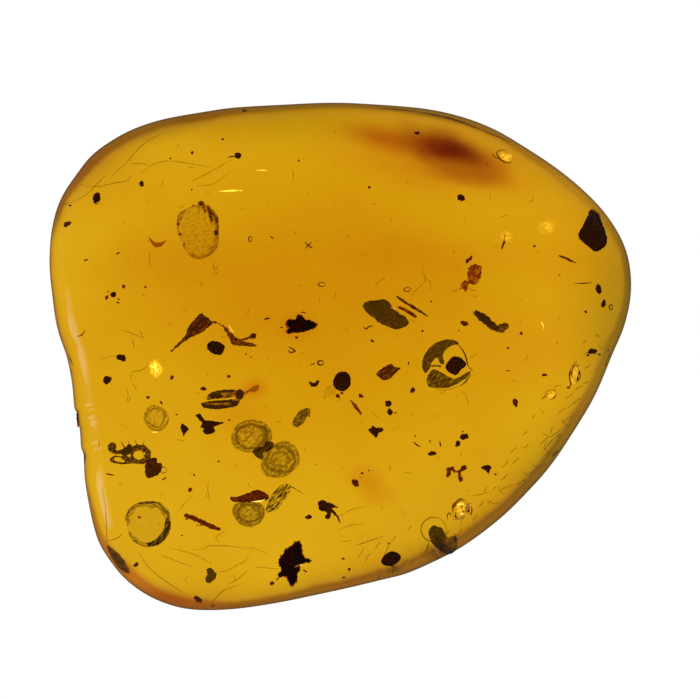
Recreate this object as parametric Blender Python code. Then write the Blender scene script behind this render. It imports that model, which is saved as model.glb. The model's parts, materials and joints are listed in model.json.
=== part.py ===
"""Insect in amber: a polished stone of clear amber with insects, seeds and plant crumbs sealed in it.

Metres, +Z up, long side along X. The stone lies on its flat polished base, and the origin is on
that plane below the middle of the stone. The amber is parted along an old resin flow that waves
through its middle, and every sealed thing lies on that flow in a pocket of its own.
"""

from math import asin, atan2, cos, pi, radians, sin, tau

import bmesh
import bpy
from mathutils import Matrix, Vector, noise

MM = 0.001
COLLECTION_NAME = "insect_in_amber"

# The stone
STONE_HEIGHT = 4.8 * MM
GIRDLE_HEIGHT = 2.2 * MM
RIM_POINTS = 55
STONE_LEVELS = 12
AT_POLE = 0.01
BASE_SHARE = 0.92
DOME_FLATNESS = 45.0
DOME_ROUNDNESS = 2.2

# The resin flow that parts the stone
FLOW_LEVEL = 3.9 * MM
SEAM_GAP = 0.1 * MM
FLOW_SWELL = 0.3 * MM
FLOW_REACH = (11.4 * MM, 10.0 * MM)
FLOW_TURNS = (0.36 / MM, 0.30 / MM)
FLOW_START = 2.2
FLOW_CELLS = (10, 9)
BLOCK_SIZE = (26 * MM, 23 * MM)
BLOCK_REACH = 9 * MM

# Around each sealed thing
POCKET_GAP = 0.06 * MM
POCKET_SMOOTHING = radians(24)
MOST_TIP = 2.5
WELD = 0.001 * MM

# The rim seen from above, clockwise from the top middle, in millimetres
STONE_OUTLINE = (
    (-0.04, 9.62), (3.07, 9.46), (5.31, 8.86), (7.09, 7.79), (9.10, 6.43), (10.58, 4.76),
    (11.00, 2.98), (10.73, 1.04), (9.82, -1.04), (8.88, -2.79), (7.74, -4.49), (6.30, -5.97),
    (4.48, -7.26), (2.50, -8.17), (0.61, -8.63), (-1.63, -9.12), (-3.79, -9.50), (-5.92, -9.50),
    (-7.51, -8.82), (-8.65, -7.72), (-9.37, -6.28), (-9.71, -4.46), (-9.90, -2.64), (-10.20, -0.82),
    (-10.62, 0.63), (-10.92, 2.22), (-11.04, 3.93), (-10.77, 5.56), (-10.05, 6.92), (-8.88, 8.10),
    (-6.71, 8.97), (-3.83, 9.43),
)

# Rounded crumbs, flakes and seeds. Each has its place in the stone, its thickness and its
# outline around that place, all in millimetres, and its colour.
CRUMBS = {
    "seed": ((9.52, 4.68), 0.60, "black", (
        (0.0, 0.83), (0.19, 0.61), (0.30, 0.27), (0.42, 0.04), (0.49, -0.19), (0.49, -0.42),
        (0.38, -0.61), (0.11, -0.76), (-0.08, -0.61), (-0.30, -0.42), (-0.46, -0.11),
        (-0.61, -0.08), (-0.42, 0.23), (-0.30, 0.42), (-0.19, 0.64))),
    "bark_crumb": ((-1.52, 1.12), 0.35, "black", (
        (-0.46, 0.19), (-0.15, 0.23), (-0.08, 0.42), (0.08, 0.30), (0.15, 0.23), (0.38, 0.15),
        (0.57, 0.04), (0.46, -0.08), (0.27, -0.15), (-0.11, -0.23), (-0.53, -0.19),
        (-0.38, -0.08), (-0.49, 0.04))),
    "leaf_scrap": ((-1.82, -7.83), 0.22, "brown", (
        (0.23, 0.83), (0.38, 0.49), (0.42, 0.19), (0.68, 0.11), (0.38, 0.0), (0.19, -0.34),
        (0.11, -0.64), (-0.04, -0.80), (-0.19, -0.61), (-0.30, -0.42), (-0.49, -0.49),
        (-0.38, -0.19), (-0.46, 0.04), (-0.38, 0.27), (-0.23, 0.46), (-0.04, 0.61),
        (0.11, 0.76))),
    "bark_flake": ((-7.06, -4.19), 0.18, "brown", (
        (-0.25, 0.25), (0.08, 0.38), (0.15, 0.19), (0.30, 0.15), (0.27, -0.15), (0.11, -0.27),
        (-0.15, -0.38), (-0.28, -0.23))),
    "square_grain": ((4.32, -0.36), 0.30, "black", (
        (-0.38, -0.06), (-0.13, 0.34), (0.15, 0.33), (0.36, 0.08), (0.15, -0.15),
        (-0.02, -0.34))),
    "lozenge_flake": ((1.74, -0.59), 0.12, "red", (
        (-0.42, -0.08), (-0.30, 0.08), (-0.04, 0.23), (0.19, 0.30), (0.27, 0.19), (0.49, 0.15),
        (0.34, 0.0), (0.19, -0.15), (0.04, -0.27), (-0.19, -0.30), (-0.30, -0.19))),
    "triangle_crumb": ((5.54, -4.23), 0.12, "black", (
        (-0.27, 0.08), (-0.11, 0.13), (0.04, 0.13), (0.11, 0.04), (0.06, -0.04), (0.02, -0.19),
        (-0.06, -0.08), (-0.23, 0.0))),
    "double_crumb": ((-2.92, -3.51), 0.25, "black", (
        (0.15, 0.34), (0.34, 0.30), (0.38, 0.15), (0.23, 0.0), (0.0, -0.11), (-0.04, -0.34),
        (-0.19, -0.30), (-0.38, -0.11), (-0.34, 0.0), (-0.15, 0.11), (0.0, 0.12),
        (0.08, 0.23))),
    "splinter_crumb": ((-5.01, -2.60), 0.20, "brown", (
        (-0.42, 0.38), (-0.30, 0.42), (-0.19, 0.27), (-0.08, 0.19), (0.11, 0.17), (0.34, 0.15),
        (0.59, 0.11), (0.38, 0.04), (0.23, -0.08), (0.27, -0.19), (0.08, -0.30),
        (-0.11, -0.30), (-0.19, -0.19), (-0.11, -0.11), (-0.27, -0.04), (-0.19, 0.11),
        (-0.34, 0.23))),
    "notched_crumb": ((-5.88, -2.75), 0.15, "brown", (
        (-0.11, 0.23), (-0.04, 0.19), (0.08, 0.11), (0.15, 0.0), (0.04, -0.11), (-0.04, -0.23),
        (-0.08, -0.11), (-0.15, 0.04))),
    "double_grain": ((-4.89, -8.21), 0.18, "olive", (
        (-0.15, 0.19), (-0.04, 0.27), (0.08, 0.19), (0.19, 0.04), (0.15, -0.11), (0.04, -0.23),
        (-0.11, -0.28), (-0.19, -0.15), (-0.11, 0.0))),
    "three_point_crumb": ((1.33, -2.81), 0.15, "black", (
        (-0.30, 0.06), (-0.19, 0.09), (-0.11, 0.17), (0.0, 0.13), (0.19, 0.13), (0.27, 0.02),
        (0.11, -0.06), (0.0, -0.25), (-0.11, -0.13), (-0.23, -0.06))),
    "red_debris": ((-3.41, -5.29), 0.15, "red", (
        (-0.72, 0.0), (-0.49, 0.0), (-0.19, 0.09), (0.0, 0.19), (0.27, 0.27), (0.53, 0.19),
        (0.68, 0.0), (0.57, -0.11), (0.27, -0.15), (-0.04, -0.19), (-0.42, -0.15),
        (-0.64, -0.13))),
}

# Plain rounded lumps: place, then length, width and thickness, turn in degrees, and colour
LUMPS = {
    "barrel_pellet": ((-4.70, 0.34), (0.62, 0.42, 0.42), -15, "black"),
    "oval_pellet": ((1.88, -7.61), (0.72, 0.50, 0.46), 25, "black"),
    "green_lump": ((1.69, 1.61), (1.82, 0.66, 0.52), -20, "olive"),
    "olive_flake": ((-1.50, -2.29), (0.95, 0.33, 0.12), 45, "olive"),
}

# Single grains: place, length and width in millimetres, and turn in degrees
GRAINS = (
    ((1.78, -1.76), 0.28, 0.20, -30),
    ((1.86, -2.09), 0.26, 0.20, 60),
    ((0.76, -1.48), 0.21, 0.15, -30),
    ((2.69, -1.27), 0.23, 0.18, 70),
    ((4.63, -3.03), 0.36, 0.20, 10),
    ((4.40, -3.30), 0.24, 0.19, 60),
    ((3.41, -3.64), 0.32, 0.14, 0),
    ((0.55, -4.76), 0.38, 0.24, -60),
    ((-8.27, -0.04), 0.42, 0.24, -35),
    ((-8.80, -0.87), 0.34, 0.31, -20),
    ((-9.20, 5.97), 0.48, 0.28, 70),
    ((-7.49, 6.51), 0.22, 0.15, 90),
    ((-10.30, 5.03), 0.26, 0.17, 20),
    ((-3.87, 7.55), 0.29, 0.21, 0),
    ((4.51, 5.99), 0.34, 0.24, -35),
    ((9.71, 2.54), 0.42, 0.20, -75),
    ((9.88, 1.99), 0.28, 0.18, 75),
    ((9.48, 0.21), 0.44, 0.22, 15),
    ((4.65, 1.25), 0.33, 0.17, -25),
    ((-8.57, 2.33), 0.26, 0.24, 0),
    ((-1.21, -6.05), 0.28, 0.17, 0),
)

# Bare rods: place, then each point and the radius there, all in millimetres, and the colour
RODS = {
    "long_needle": ((2.66, 1.90), "brown", (
        (-0.57, 0.36, 0.03), (-0.28, 0.17, 0.08), (0.15, -0.10, 0.07), (0.60, -0.38, 0.02))),
    "red_needle": ((2.55, 1.67), "red", (
        (-0.31, 0.16, 0.05), (-0.04, 0.02, 0.08), (0.25, -0.15, 0.08))),
    "spindle": ((-8.33, -7.62), "brown", (
        (-0.42, 0.52, 0.02), (-0.20, 0.24, 0.10), (0.06, -0.04, 0.11), (0.28, -0.28, 0.08),
        (0.40, -0.42, 0.02))),
    "twig": ((-5.20, -6.24), "red", (
        (-0.64, 0.27, 0.07), (-0.40, 0.19, 0.11), (-0.10, 0.06, 0.08), (0.28, -0.13, 0.10),
        (0.66, -0.27, 0.06))),
    "crescent_crumb": ((-1.02, -1.04), "brown", (
        (-0.17, 0.08, 0.05), (-0.08, -0.04, 0.08), (0.07, -0.05, 0.08), (0.14, 0.09, 0.06))),
    "short_splinter": ((0.57, -1.90), "red", (
        (-0.19, 0.25, 0.03), (-0.05, 0.04, 0.09), (0.19, -0.25, 0.03))),
    "red_splinter": ((6.11, 4.31), "red", (
        (0.06, 0.26, 0.03), (0.04, 0.0, 0.05), (-0.06, -0.27, 0.03))),
    "thin_splinter": ((8.49, 3.68), "brown", (
        (-0.30, 0.14, 0.02), (0.0, 0.02, 0.05), (0.34, -0.15, 0.02))),
}

COLOURS = {
    "amber": (0.86, 0.55, 0.04, 1.0),
    "black": (0.015, 0.012, 0.008, 1.0),
    "brown": (0.07, 0.025, 0.01, 1.0),
    "red": (0.18, 0.04, 0.015, 1.0),
    "olive": (0.09, 0.07, 0.02, 1.0),
    "chitin": (0.12, 0.04, 0.012, 1.0),
    "clear_shell": (0.45, 0.25, 0.05, 1.0),
}


def clear_scene():
    for obj in list(bpy.data.objects):
        bpy.data.objects.remove(obj, do_unlink=True)


def new_collection(name, parent):
    collection = bpy.data.collections.new(name)
    parent.children.link(collection)
    return collection


def finish(colour, roughness=0.45, clear=0.0):
    """The material of this colour, made once. clear is how much light passes through it."""
    name = f"{colour}_finish"
    if name in bpy.data.materials:
        return bpy.data.materials[name]
    made = bpy.data.materials.new(name)
    made.use_nodes = True
    shader = made.node_tree.nodes["Principled BSDF"]
    shader.inputs["Base Color"].default_value = COLOURS[colour]
    shader.inputs["Roughness"].default_value = roughness
    shader.inputs["Metallic"].default_value = 0.0
    shader.inputs["Transmission Weight"].default_value = clear
    shader.inputs["IOR"].default_value = 1.54
    return made


def add_mesh(name, bm, collection, material=None):
    """Turns a closed bmesh into an object in this collection, with its faces pointing out."""
    bmesh.ops.recalc_face_normals(bm, faces=bm.faces)
    if bm.calc_volume(signed=True) < 0:
        bmesh.ops.reverse_faces(bm, faces=bm.faces)
    mesh = bpy.data.meshes.new(name)
    bm.to_mesh(mesh)
    bm.free()
    obj = bpy.data.objects.new(name, mesh)
    collection.objects.link(obj)
    if material:
        mesh.materials.append(material)
    return obj


def make_helper(obj):
    obj.hide_render = True
    obj.display_type = "WIRE"


# ---- the resin flow and the stone ----


def flow_height(x, y):
    """Height of the resin flow. It swells in the middle of the stone and is level along the rim."""
    inside = max(0.0, 1.0 - (x / FLOW_REACH[0]) ** 2 - (y / FLOW_REACH[1]) ** 2)
    wave = sin(FLOW_TURNS[0] * x + FLOW_START) * cos(FLOW_TURNS[1] * y)
    return FLOW_LEVEL + FLOW_SWELL * inside * wave


def lay_on_flow(obj, place, turn=0.0):
    """Lays an object on the resin flow at this place in millimetres, turned about its own upright."""
    x, y = place[0] * MM, place[1] * MM
    step = 0.1 * MM
    rise_x = (flow_height(x + step, y) - flow_height(x - step, y)) / (2 * step)
    rise_y = (flow_height(x, y + step) - flow_height(x, y - step)) / (2 * step)
    upright = Vector((-rise_x, -rise_y, 1.0))
    tilt = Vector((0, 0, 1)).rotation_difference(upright).to_matrix()
    obj.location = (x, y, flow_height(x, y))
    obj.rotation_euler = (tilt @ Matrix.Rotation(radians(turn), 3, "Z")).to_euler()


def smooth_ring(points, count):
    """Points spaced evenly along a closed Catmull-Rom curve through these."""
    ring = []
    for index in range(count):
        along = index / count * len(points)
        start = int(along)
        part = along - start
        before, here, there, after = (Vector(points[(start + k) % len(points)]) for k in (-1, 0, 1, 2))
        ring.append(0.5 * (
            2 * here
            + (there - before) * part
            + (2 * before - 5 * here + 4 * there - after) * part ** 2
            + (3 * here - before - 3 * there + after) * part ** 3
        ))
    return ring


def stone_ring(latitude):
    """Where the ring at this latitude of a sphere goes: its share of the way to the rim, and its height."""
    if latitude > 0:
        dome = (STONE_HEIGHT - GIRDLE_HEIGHT) * sin(latitude) ** (2 / DOME_ROUNDNESS)
        return cos(latitude) ** (2 / DOME_FLATNESS), GIRDLE_HEIGHT + dome
    lowest_ring = pi / 2 - pi / STONE_LEVELS
    turn = pi / 2 * max(0.0, 1.0 + latitude / lowest_ring)
    return BASE_SHARE + (1.0 - BASE_SHARE) * sin(turn), GIRDLE_HEIGHT * (1.0 - cos(turn))


def stone_mesh():
    """A sphere drawn out to the rim's outline, domed above and flat below."""
    rim = smooth_ring(STONE_OUTLINE, RIM_POINTS)
    bm = bmesh.new()
    bmesh.ops.create_uvsphere(bm, u_segments=RIM_POINTS, v_segments=STONE_LEVELS, radius=1.0)
    for vert in bm.verts:
        turn = atan2(vert.co.y, vert.co.x) % tau
        share, height = stone_ring(asin(max(-1.0, min(1.0, vert.co.z))))
        if Vector(vert.co.xy).length < AT_POLE:
            share = 0.0
        edge = rim[-round(turn / tau * RIM_POINTS) % RIM_POINTS] * MM
        vert.co = Vector((edge.x * share, edge.y * share, height))
    flat = [face for face in bm.faces if all(vert.co.z < WELD for vert in face.verts)]
    bmesh.ops.dissolve_faces(bm, faces=flat)
    bmesh.ops.triangulate(bm, faces=[face for face in bm.faces if len(face.verts) == 4])
    bmesh.ops.recalc_face_normals(bm, faces=bm.faces)
    mesh = bpy.data.meshes.new("stone")
    bm.to_mesh(mesh)
    bm.free()
    return mesh


def flow_block(name, above, collection):
    """All that lies above the flow surface, or below it, as a block that one half of the stone keeps."""
    offset = SEAM_GAP / 2 if above else -SEAM_GAP / 2
    far = FLOW_LEVEL + (BLOCK_REACH if above else -BLOCK_REACH)
    bm = bmesh.new()
    bmesh.ops.create_grid(bm, x_segments=FLOW_CELLS[0], y_segments=FLOW_CELLS[1], size=0.5)
    for vert in bm.verts:
        vert.co.x *= BLOCK_SIZE[0]
        vert.co.y *= BLOCK_SIZE[1]
    sheet = list(bm.faces)
    grown = bmesh.ops.extrude_face_region(bm, geom=sheet)["geom"]
    raised = {item for item in grown if isinstance(item, bmesh.types.BMVert)}
    for vert in bm.verts:
        vert.co.z = far if vert in raised else flow_height(vert.co.x, vert.co.y) + offset
    bmesh.ops.triangulate(bm, faces=bm.faces)
    block = add_mesh(name, bm, collection)
    make_helper(block)
    return block


def combine(obj, operation, other):
    """Adds an exact Boolean of this object with the other one, named for the other one."""
    boolean = obj.modifiers.new(other.name, "BOOLEAN")
    boolean.operation = operation
    boolean.solver = "EXACT"
    boolean.object = other


def add_amber(parts, helpers, pockets):
    """The two halves of the stone, each with its share of every pocket."""
    mesh = stone_mesh()
    mesh.materials.append(finish("amber", roughness=0.05, clear=1.0))
    mesh.shade_smooth()
    mesh.set_sharp_from_angle(angle=radians(40))
    for name, above in (("amber_top", True), ("amber_base", False)):
        half = bpy.data.objects.new(name, mesh)
        parts.objects.link(half)
        combine(half, "INTERSECT", flow_block(f"{name}_block", above, helpers))
        for pocket in pockets.objects:
            combine(half, "DIFFERENCE", pocket)


# ---- shapes of the sealed things, each around its own origin ----


def ball(name, size, collection, material=None, at=(0, 0, 0), turn=0.0, sides=8, rings=6):
    """A rounded lump: its length, width and thickness in millimetres, its place and its turn."""
    bm = bmesh.new()
    place = Matrix.LocRotScale(
        Vector(at) * MM, Matrix.Rotation(radians(turn), 3, "Z"), Vector(size) * MM / 2
    )
    bmesh.ops.create_uvsphere(bm, u_segments=sides, v_segments=rings, radius=1.0, matrix=place)
    return add_mesh(name, bm, collection, material)


def crumb(name, outline, thickness, collection, material):
    """A rounded crumb with this outline from above, thinning towards its edge."""
    bm = bmesh.new()
    count = len(outline)
    bmesh.ops.create_uvsphere(bm, u_segments=count, v_segments=4, radius=1.0)
    for vert in bm.verts:
        turn = atan2(vert.co.y, vert.co.x) % tau
        edge = outline[-round(turn / tau * count) % count]
        share = Vector(vert.co.xy).length ** 0.6
        half = thickness / 2 * vert.co.z
        bump = 0.25 * thickness * noise.noise(Vector((edge[0], edge[1], half)) * 9)
        vert.co = Vector((edge[0] * share, edge[1] * share, half + bump * share)) * MM
    return add_mesh(name, bm, collection, material)


def grain(name, length, width, collection, material):
    """An angular grain with twenty facets."""
    bm = bmesh.new()
    size = Matrix.Diagonal(Vector((length, width, width * 0.8)) * MM / 2)
    bmesh.ops.create_icosphere(bm, subdivisions=1, radius=1.0, matrix=size.to_4x4())
    for vert in bm.verts:
        vert.co *= 1.0 + 0.25 * noise.noise(vert.co * 9000 + Vector((length, width, 0)) * 40)
    return add_mesh(name, bm, collection, material)


def rod(name, points, collection, material=None, sides=6):
    """A rod through these points in millimetres, the last number of each being its radius there."""
    curve = bpy.data.curves.new(name, "CURVE")
    curve.dimensions = "3D"
    curve.bevel_depth = MM
    curve.bevel_resolution = (sides - 4) // 2
    curve.use_fill_caps = True
    spline = curve.splines.new("POLY")
    spline.points.add(len(points) - 1)
    for made, point in zip(spline.points, points):
        height = point[2] if len(point) == 4 else 0.0
        made.co = (point[0] * MM, point[1] * MM, height * MM, 1.0)
        made.radius = point[-1]
    drawn = bpy.data.objects.new(name + "_curve", curve)
    bpy.context.scene.collection.objects.link(drawn)
    bpy.context.view_layer.update()
    graph = bpy.context.evaluated_depsgraph_get()
    mesh = bpy.data.meshes.new_from_object(drawn.evaluated_get(graph))
    bm = bmesh.new()
    bm.from_mesh(mesh)
    bmesh.ops.remove_doubles(bm, verts=bm.verts, dist=WELD)
    bpy.data.objects.remove(drawn, do_unlink=True)
    return add_mesh(name, bm, collection, material)


def ring(name, across, thick, at, collection, turns=10, sides=5):
    """A closed ring of this outer width, in millimetres."""
    middle = (across - thick) / 2
    loop = []
    for index in range(turns):
        angle = tau * index / turns
        loop.append((at[0] + middle * cos(angle), at[1] + middle * sin(angle)))
    bm = bmesh.new()
    rows = []
    for index, (x, y) in enumerate(loop):
        outward = Vector((cos(tau * index / turns), sin(tau * index / turns), 0.0))
        row = []
        for step in range(sides):
            angle = tau * step / sides
            point = Vector((x, y, at[2])) + outward * cos(angle) * thick / 2
            point.z += sin(angle) * thick / 2
            row.append(bm.verts.new(point * MM))
        rows.append(row)
    for index in range(turns):
        for step in range(sides):
            here, there = rows[index], rows[(index + 1) % turns]
            after = (step + 1) % sides
            bm.faces.new((here[step], here[after], there[after], there[step]))
    return add_mesh(name, bm, collection)


def fuse(body, limbs):
    """Grows the limbs onto the body, so that they are one solid."""
    for limb in limbs:
        limb.parent = body
        make_helper(limb)
        combine(body, "UNION", limb)


# ---- the insects ----


def add_beetle(parts, helpers):
    """A small beetle with its wing cases slightly open, one feeler ending in a club."""
    chitin = finish("chitin", roughness=0.3)
    body = ball("beetle", (1.22, 0.42, 0.40), parts, chitin, at=(-0.10, 0.0, 0.02), turn=8, rings=5)
    limbs = [
        ball("beetle_case_a", (1.34, 0.32, 0.34), helpers, at=(-0.06, -0.23, 0.06), turn=2),
        ball("beetle_case_b", (1.02, 0.30, 0.30), helpers, at=(0.04, 0.12, 0.10), turn=10, rings=5),
        ball("beetle_thorax", (0.40, 0.44, 0.34), helpers, at=(0.62, 0.02, 0.02), rings=4),
        ball("beetle_head", (0.30, 0.34, 0.26), helpers, at=(0.76, 0.16, 0.0), turn=30, rings=4),
        rod("beetle_feeler", (
            (0.80, 0.18, 0.02, 0.05), (0.98, 0.22, 0.04, 0.05), (1.16, 0.30, 0.04, 0.06),
            (1.30, 0.38, 0.02, 0.12), (1.42, 0.44, 0.0, 0.08)), helpers, sides=4),
    ]
    for index, along in enumerate((-0.15, 0.22, 0.55)):
        for side in (-1, 1):
            limbs.append(rod(f"beetle_leg_{index}_{side + 1}", (
                (along, 0.10 * side, -0.08, 0.05),
                (along - 0.06, 0.40 * side - 0.04, -0.22, 0.03)), helpers, sides=4))
    fuse(body, limbs)
    lay_on_flow(body, (-4.55, -1.57))


def add_midge(parts, helpers):
    """A midge with a dark chest, an abdomen curled into a ring and a feeler curled like a hook."""
    chitin = finish("chitin")
    body = ball("midge", (0.48, 0.38, 0.34), parts, chitin, at=(-0.06, 0.10, 0.04), turn=15)
    limbs = [
        ring("midge_abdomen", 0.68, 0.19, (0.44, -0.04, 0.0), helpers),
        ball("midge_wing", (0.58, 0.22, 0.12), helpers, at=(-0.36, -0.20, 0.0), turn=-5, rings=4),
        ball("midge_waist", (0.34, 0.20, 0.16), helpers, at=(-0.06, -0.12, 0.0), turn=20, rings=4),
        rod("midge_arm", (
            (-0.12, 0.06, 0.02, 0.06), (-0.36, 0.04, 0.02, 0.045), (-0.52, 0.08, 0.0, 0.04),
            (-0.62, 0.18, 0.0, 0.035)), helpers, sides=4),
        ring("midge_curl", 0.30, 0.07, (-0.62, 0.28, 0.0), helpers, turns=8, sides=4),
    ]
    for index, (x, y) in enumerate(((-0.12, 0.44), (0.06, 0.48), (0.30, 0.50))):
        limbs.append(rod(f"midge_leg_{index}", (
            (-0.04 + 0.05 * index, 0.16, 0.0, 0.03), (x, y, 0.0, 0.015)), helpers, sides=4))
    fuse(body, limbs)
    lay_on_flow(body, (-8.01, -3.66))


def add_gnat(parts, helpers):
    """A small gnat, its abdomen tilted up and back, with a bent leg."""
    chitin = finish("chitin", roughness=0.3)
    body = ball("gnat", (0.62, 0.42, 0.36), parts, chitin, at=(0.20, 0.24, 0.0), turn=68)
    limbs = [
        ball("gnat_chest", (0.46, 0.30, 0.28), helpers, at=(-0.06, -0.12, 0.0), turn=50, rings=4),
        ball("gnat_head", (0.24, 0.24, 0.20), helpers, at=(-0.22, -0.30, 0.0), sides=6, rings=4),
        rod("gnat_leg_a", (
            (-0.20, -0.26, 0.0, 0.035), (-0.46, -0.40, 0.0, 0.025), (-0.72, -0.44, 0.0, 0.015)),
            helpers, sides=4),
        rod("gnat_leg_b", (
            (-0.06, -0.20, 0.0, 0.03), (0.10, -0.38, 0.0, 0.02), (0.24, -0.52, 0.0, 0.015)),
            helpers, sides=4),
    ]
    fuse(body, limbs)
    lay_on_flow(body, (4.86, 2.94))


def add_larva(parts):
    """A ribbed larva, dark along its length, with a paler tail that bends away."""
    spine = ((-0.55, 0.34), (-0.40, 0.26), (-0.25, 0.14), (-0.10, 0.0), (0.05, -0.12),
             (0.20, -0.24), (0.36, -0.31), (0.52, -0.30), (0.68, -0.20))
    points = []
    for index, (x, y) in enumerate(spine):
        ends = 0.7 if index in (0, len(spine) - 1) else 1.0
        points.append((x, y, (0.15 if index % 2 else 0.13) * ends))
    larva = rod("larva", points, parts, finish("chitin"), sides=8)
    lay_on_flow(larva, (5.60, 1.32))


def add_scale_insect(parts, helpers):
    """A flat clear nymph, an oval shell with dark beads and claws along one side of its rim."""
    shell = finish("clear_shell", roughness=0.3)
    body = ball("scale_insect", (2.0, 1.5, 0.16), parts, shell, turn=97, sides=14, rings=4)
    limbs = []
    for index, (x, y, wide) in enumerate((
            (0.28, 0.94, 0.20), (0.52, 0.62, 0.34), (0.66, 0.28, 0.20), (0.74, -0.04, 0.20),
            (-0.70, 0.20, 0.16))):
        limbs.append(ball(f"scale_bead_{index}", (wide, wide * 0.8, 0.2), helpers,
                          at=(x, y, 0.02), turn=60, sides=5, rings=3))
    fuse(body, limbs)
    lay_on_flow(body, (-5.42, 4.74))


# ---- plant bits with branches ----


def add_bract(parts, helpers):
    """A rolled bract: a cone with a thin tail and a torn spike at its mouth."""
    body = rod("bract", (
        (-0.98, -0.80, 0.02), (-0.62, -0.48, 0.09), (-0.46, -0.36, 0.08), (-0.26, -0.18, 0.15),
        (0.02, 0.10, 0.24), (0.36, 0.38, 0.29)), parts, finish("brown"), sides=8)
    spike = rod("bract_spike", ((0.18, 0.36, 0.09), (0.22, 0.62, 0.03)), helpers)
    fuse(body, [spike])
    lay_on_flow(body, (-5.42, 1.01))


def add_wing_shred(parts, helpers):
    """A torn shred of wing, crumpled, with a thread at one end and a knob at the other."""
    body = rod("wing_shred", (
        (-0.72, 0.47, 0.02), (-0.53, 0.38, 0.03), (-0.30, 0.08, 0.12), (-0.08, -0.19, 0.14),
        (0.19, -0.27, 0.09), (0.49, -0.34, 0.06), (0.78, -0.42, 0.03)), parts, finish("red"))
    arm = rod("wing_arm", (
        (0.0, -0.19, 0.06), (0.34, -0.14, 0.05), (0.50, -0.08, 0.07), (0.62, -0.05, 0.09)), helpers)
    fuse(body, [arm])
    lay_on_flow(body, (-3.91, 0.82))


def add_root_knot(parts, helpers):
    """A knot of root with three short arms."""
    body = ball("root_knot", (0.36, 0.44, 0.30), parts, finish("black"), at=(-0.10, 0.13, 0.0))
    arms = (
        ((0.0, 0.10, 0.07), (0.26, 0.16, 0.06), (0.42, 0.06, 0.04)),
        ((0.0, 0.04, 0.07), (0.12, -0.10, 0.06), (0.08, -0.30, 0.06)),
        ((0.14, 0.10, 0.04), (0.38, -0.20, 0.04), (0.52, -0.46, 0.02)),
    )
    limbs = [rod(f"root_arm_{index}", arm, helpers) for index, arm in enumerate(arms)]
    fuse(body, limbs)
    lay_on_flow(body, (-0.57, -5.75))


def add_lace_cluster(parts, helpers):
    """A lacy cluster of red spores, joined by short threads."""
    body = rod("lace_cluster", (
        (-0.34, -0.12, 0.08), (-0.30, 0.11, 0.09), (-0.15, 0.20, 0.08), (-0.06, 0.02, 0.07),
        (0.11, 0.08, 0.07), (0.27, 0.19, 0.11)), parts, finish("red"))
    branch = rod("lace_branch", (
        (0.10, 0.07, 0.05), (0.08, -0.11, 0.06), (0.14, -0.24, 0.09)), helpers)
    fuse(body, [branch])
    lay_on_flow(body, (4.36, -4.38))


# ---- everything that is sealed in ----


def add_plain_bits(parts):
    """Crumbs, lumps, rods and grains: solids that need no limbs."""
    for name, (place, thickness, colour, outline) in CRUMBS.items():
        lay_on_flow(crumb(name, outline, thickness, parts, finish(colour)), place)
    for name, (place, size, turn, colour) in LUMPS.items():
        lay_on_flow(ball(name, size, parts, finish(colour), rings=5), place, turn)
    for name, (place, colour, points) in RODS.items():
        lay_on_flow(rod(name, points, parts, finish(colour)), place)
    for number, (place, length, width, turn) in enumerate(GRAINS, start=1):
        lay_on_flow(grain(f"grain_{number:02d}", length, width, parts, finish("brown")), place, turn)
    corners = [(0.33 + 0.02 * cos(6 * angle), angle) for angle in (tau * k / 12 for k in range(12))]
    hexagon = [(far * cos(angle), -far * sin(angle)) for far, angle in corners]
    lay_on_flow(crumb("hexagonal_pellet", hexagon, 0.5, parts, finish("black")), (0.02, -0.93), 15)


def tight_skin(points):
    """The convex skin around these points."""
    bm = bmesh.new()
    for point in points:
        bm.verts.new(point)
    bmesh.ops.convex_hull(bm, input=bm.verts)
    inside = [vert for vert in bm.verts if not vert.link_faces]
    bmesh.ops.delete(bm, geom=inside, context="VERTS")
    return bm


def spill(points, skin):
    """How far the furthest of these points stands out of a convex skin."""
    far = 0.0
    for face in skin.faces:
        corner, out = face.verts[0].co, face.normal
        far = max(far, max((point - corner).dot(out) for point in points))
    return far


def pocket_mesh(points):
    """A skin with few facets that holds all of these points with POCKET_GAP to spare."""
    full = tight_skin(points)
    bmesh.ops.dissolve_limit(
        full, angle_limit=POCKET_SMOOTHING, verts=full.verts, edges=full.edges
    )
    skin = tight_skin([vert.co for vert in full.verts])
    full.free()
    bmesh.ops.recalc_face_normals(skin, faces=skin.faces)
    skin.normal_update()
    room = POCKET_GAP + spill(points, skin)
    moves = [vert.normal * room * min(MOST_TIP, vert.calc_shell_factor()) for vert in skin.verts]
    for vert, move in zip(skin.verts, moves):
        vert.co += move
    return skin


def add_pockets(parts, pockets):
    """A hollow around each sealed thing."""
    bpy.context.view_layer.update()
    graph = bpy.context.evaluated_depsgraph_get()
    for thing in list(parts.objects):
        points = [vert.co.copy() for vert in thing.evaluated_get(graph).to_mesh().vertices]
        pocket = add_mesh(f"{thing.name}_pocket", pocket_mesh(points), pockets)
        pocket.matrix_world = thing.matrix_world.copy()
        make_helper(pocket)


def main():
    clear_scene()
    parts = new_collection(COLLECTION_NAME, bpy.context.scene.collection)
    helpers = new_collection("helpers", bpy.context.scene.collection)
    pockets = new_collection("pockets", helpers)
    add_beetle(parts, helpers)
    add_midge(parts, helpers)
    add_gnat(parts, helpers)
    add_larva(parts)
    add_scale_insect(parts, helpers)
    add_bract(parts, helpers)
    add_wing_shred(parts, helpers)
    add_root_knot(parts, helpers)
    add_lace_cluster(parts, helpers)
    add_plain_bits(parts)
    add_pockets(parts, pockets)
    add_amber(parts, helpers, pockets)


main()
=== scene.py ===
import json
from bisect import bisect
from math import asin, atan, atan2, cos, exp, hypot, pi, radians, sin, tan, tau

import bmesh
import bpy
from mathutils import Euler, Matrix, Vector, noise
from mathutils.bvhtree import BVHTree


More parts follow.
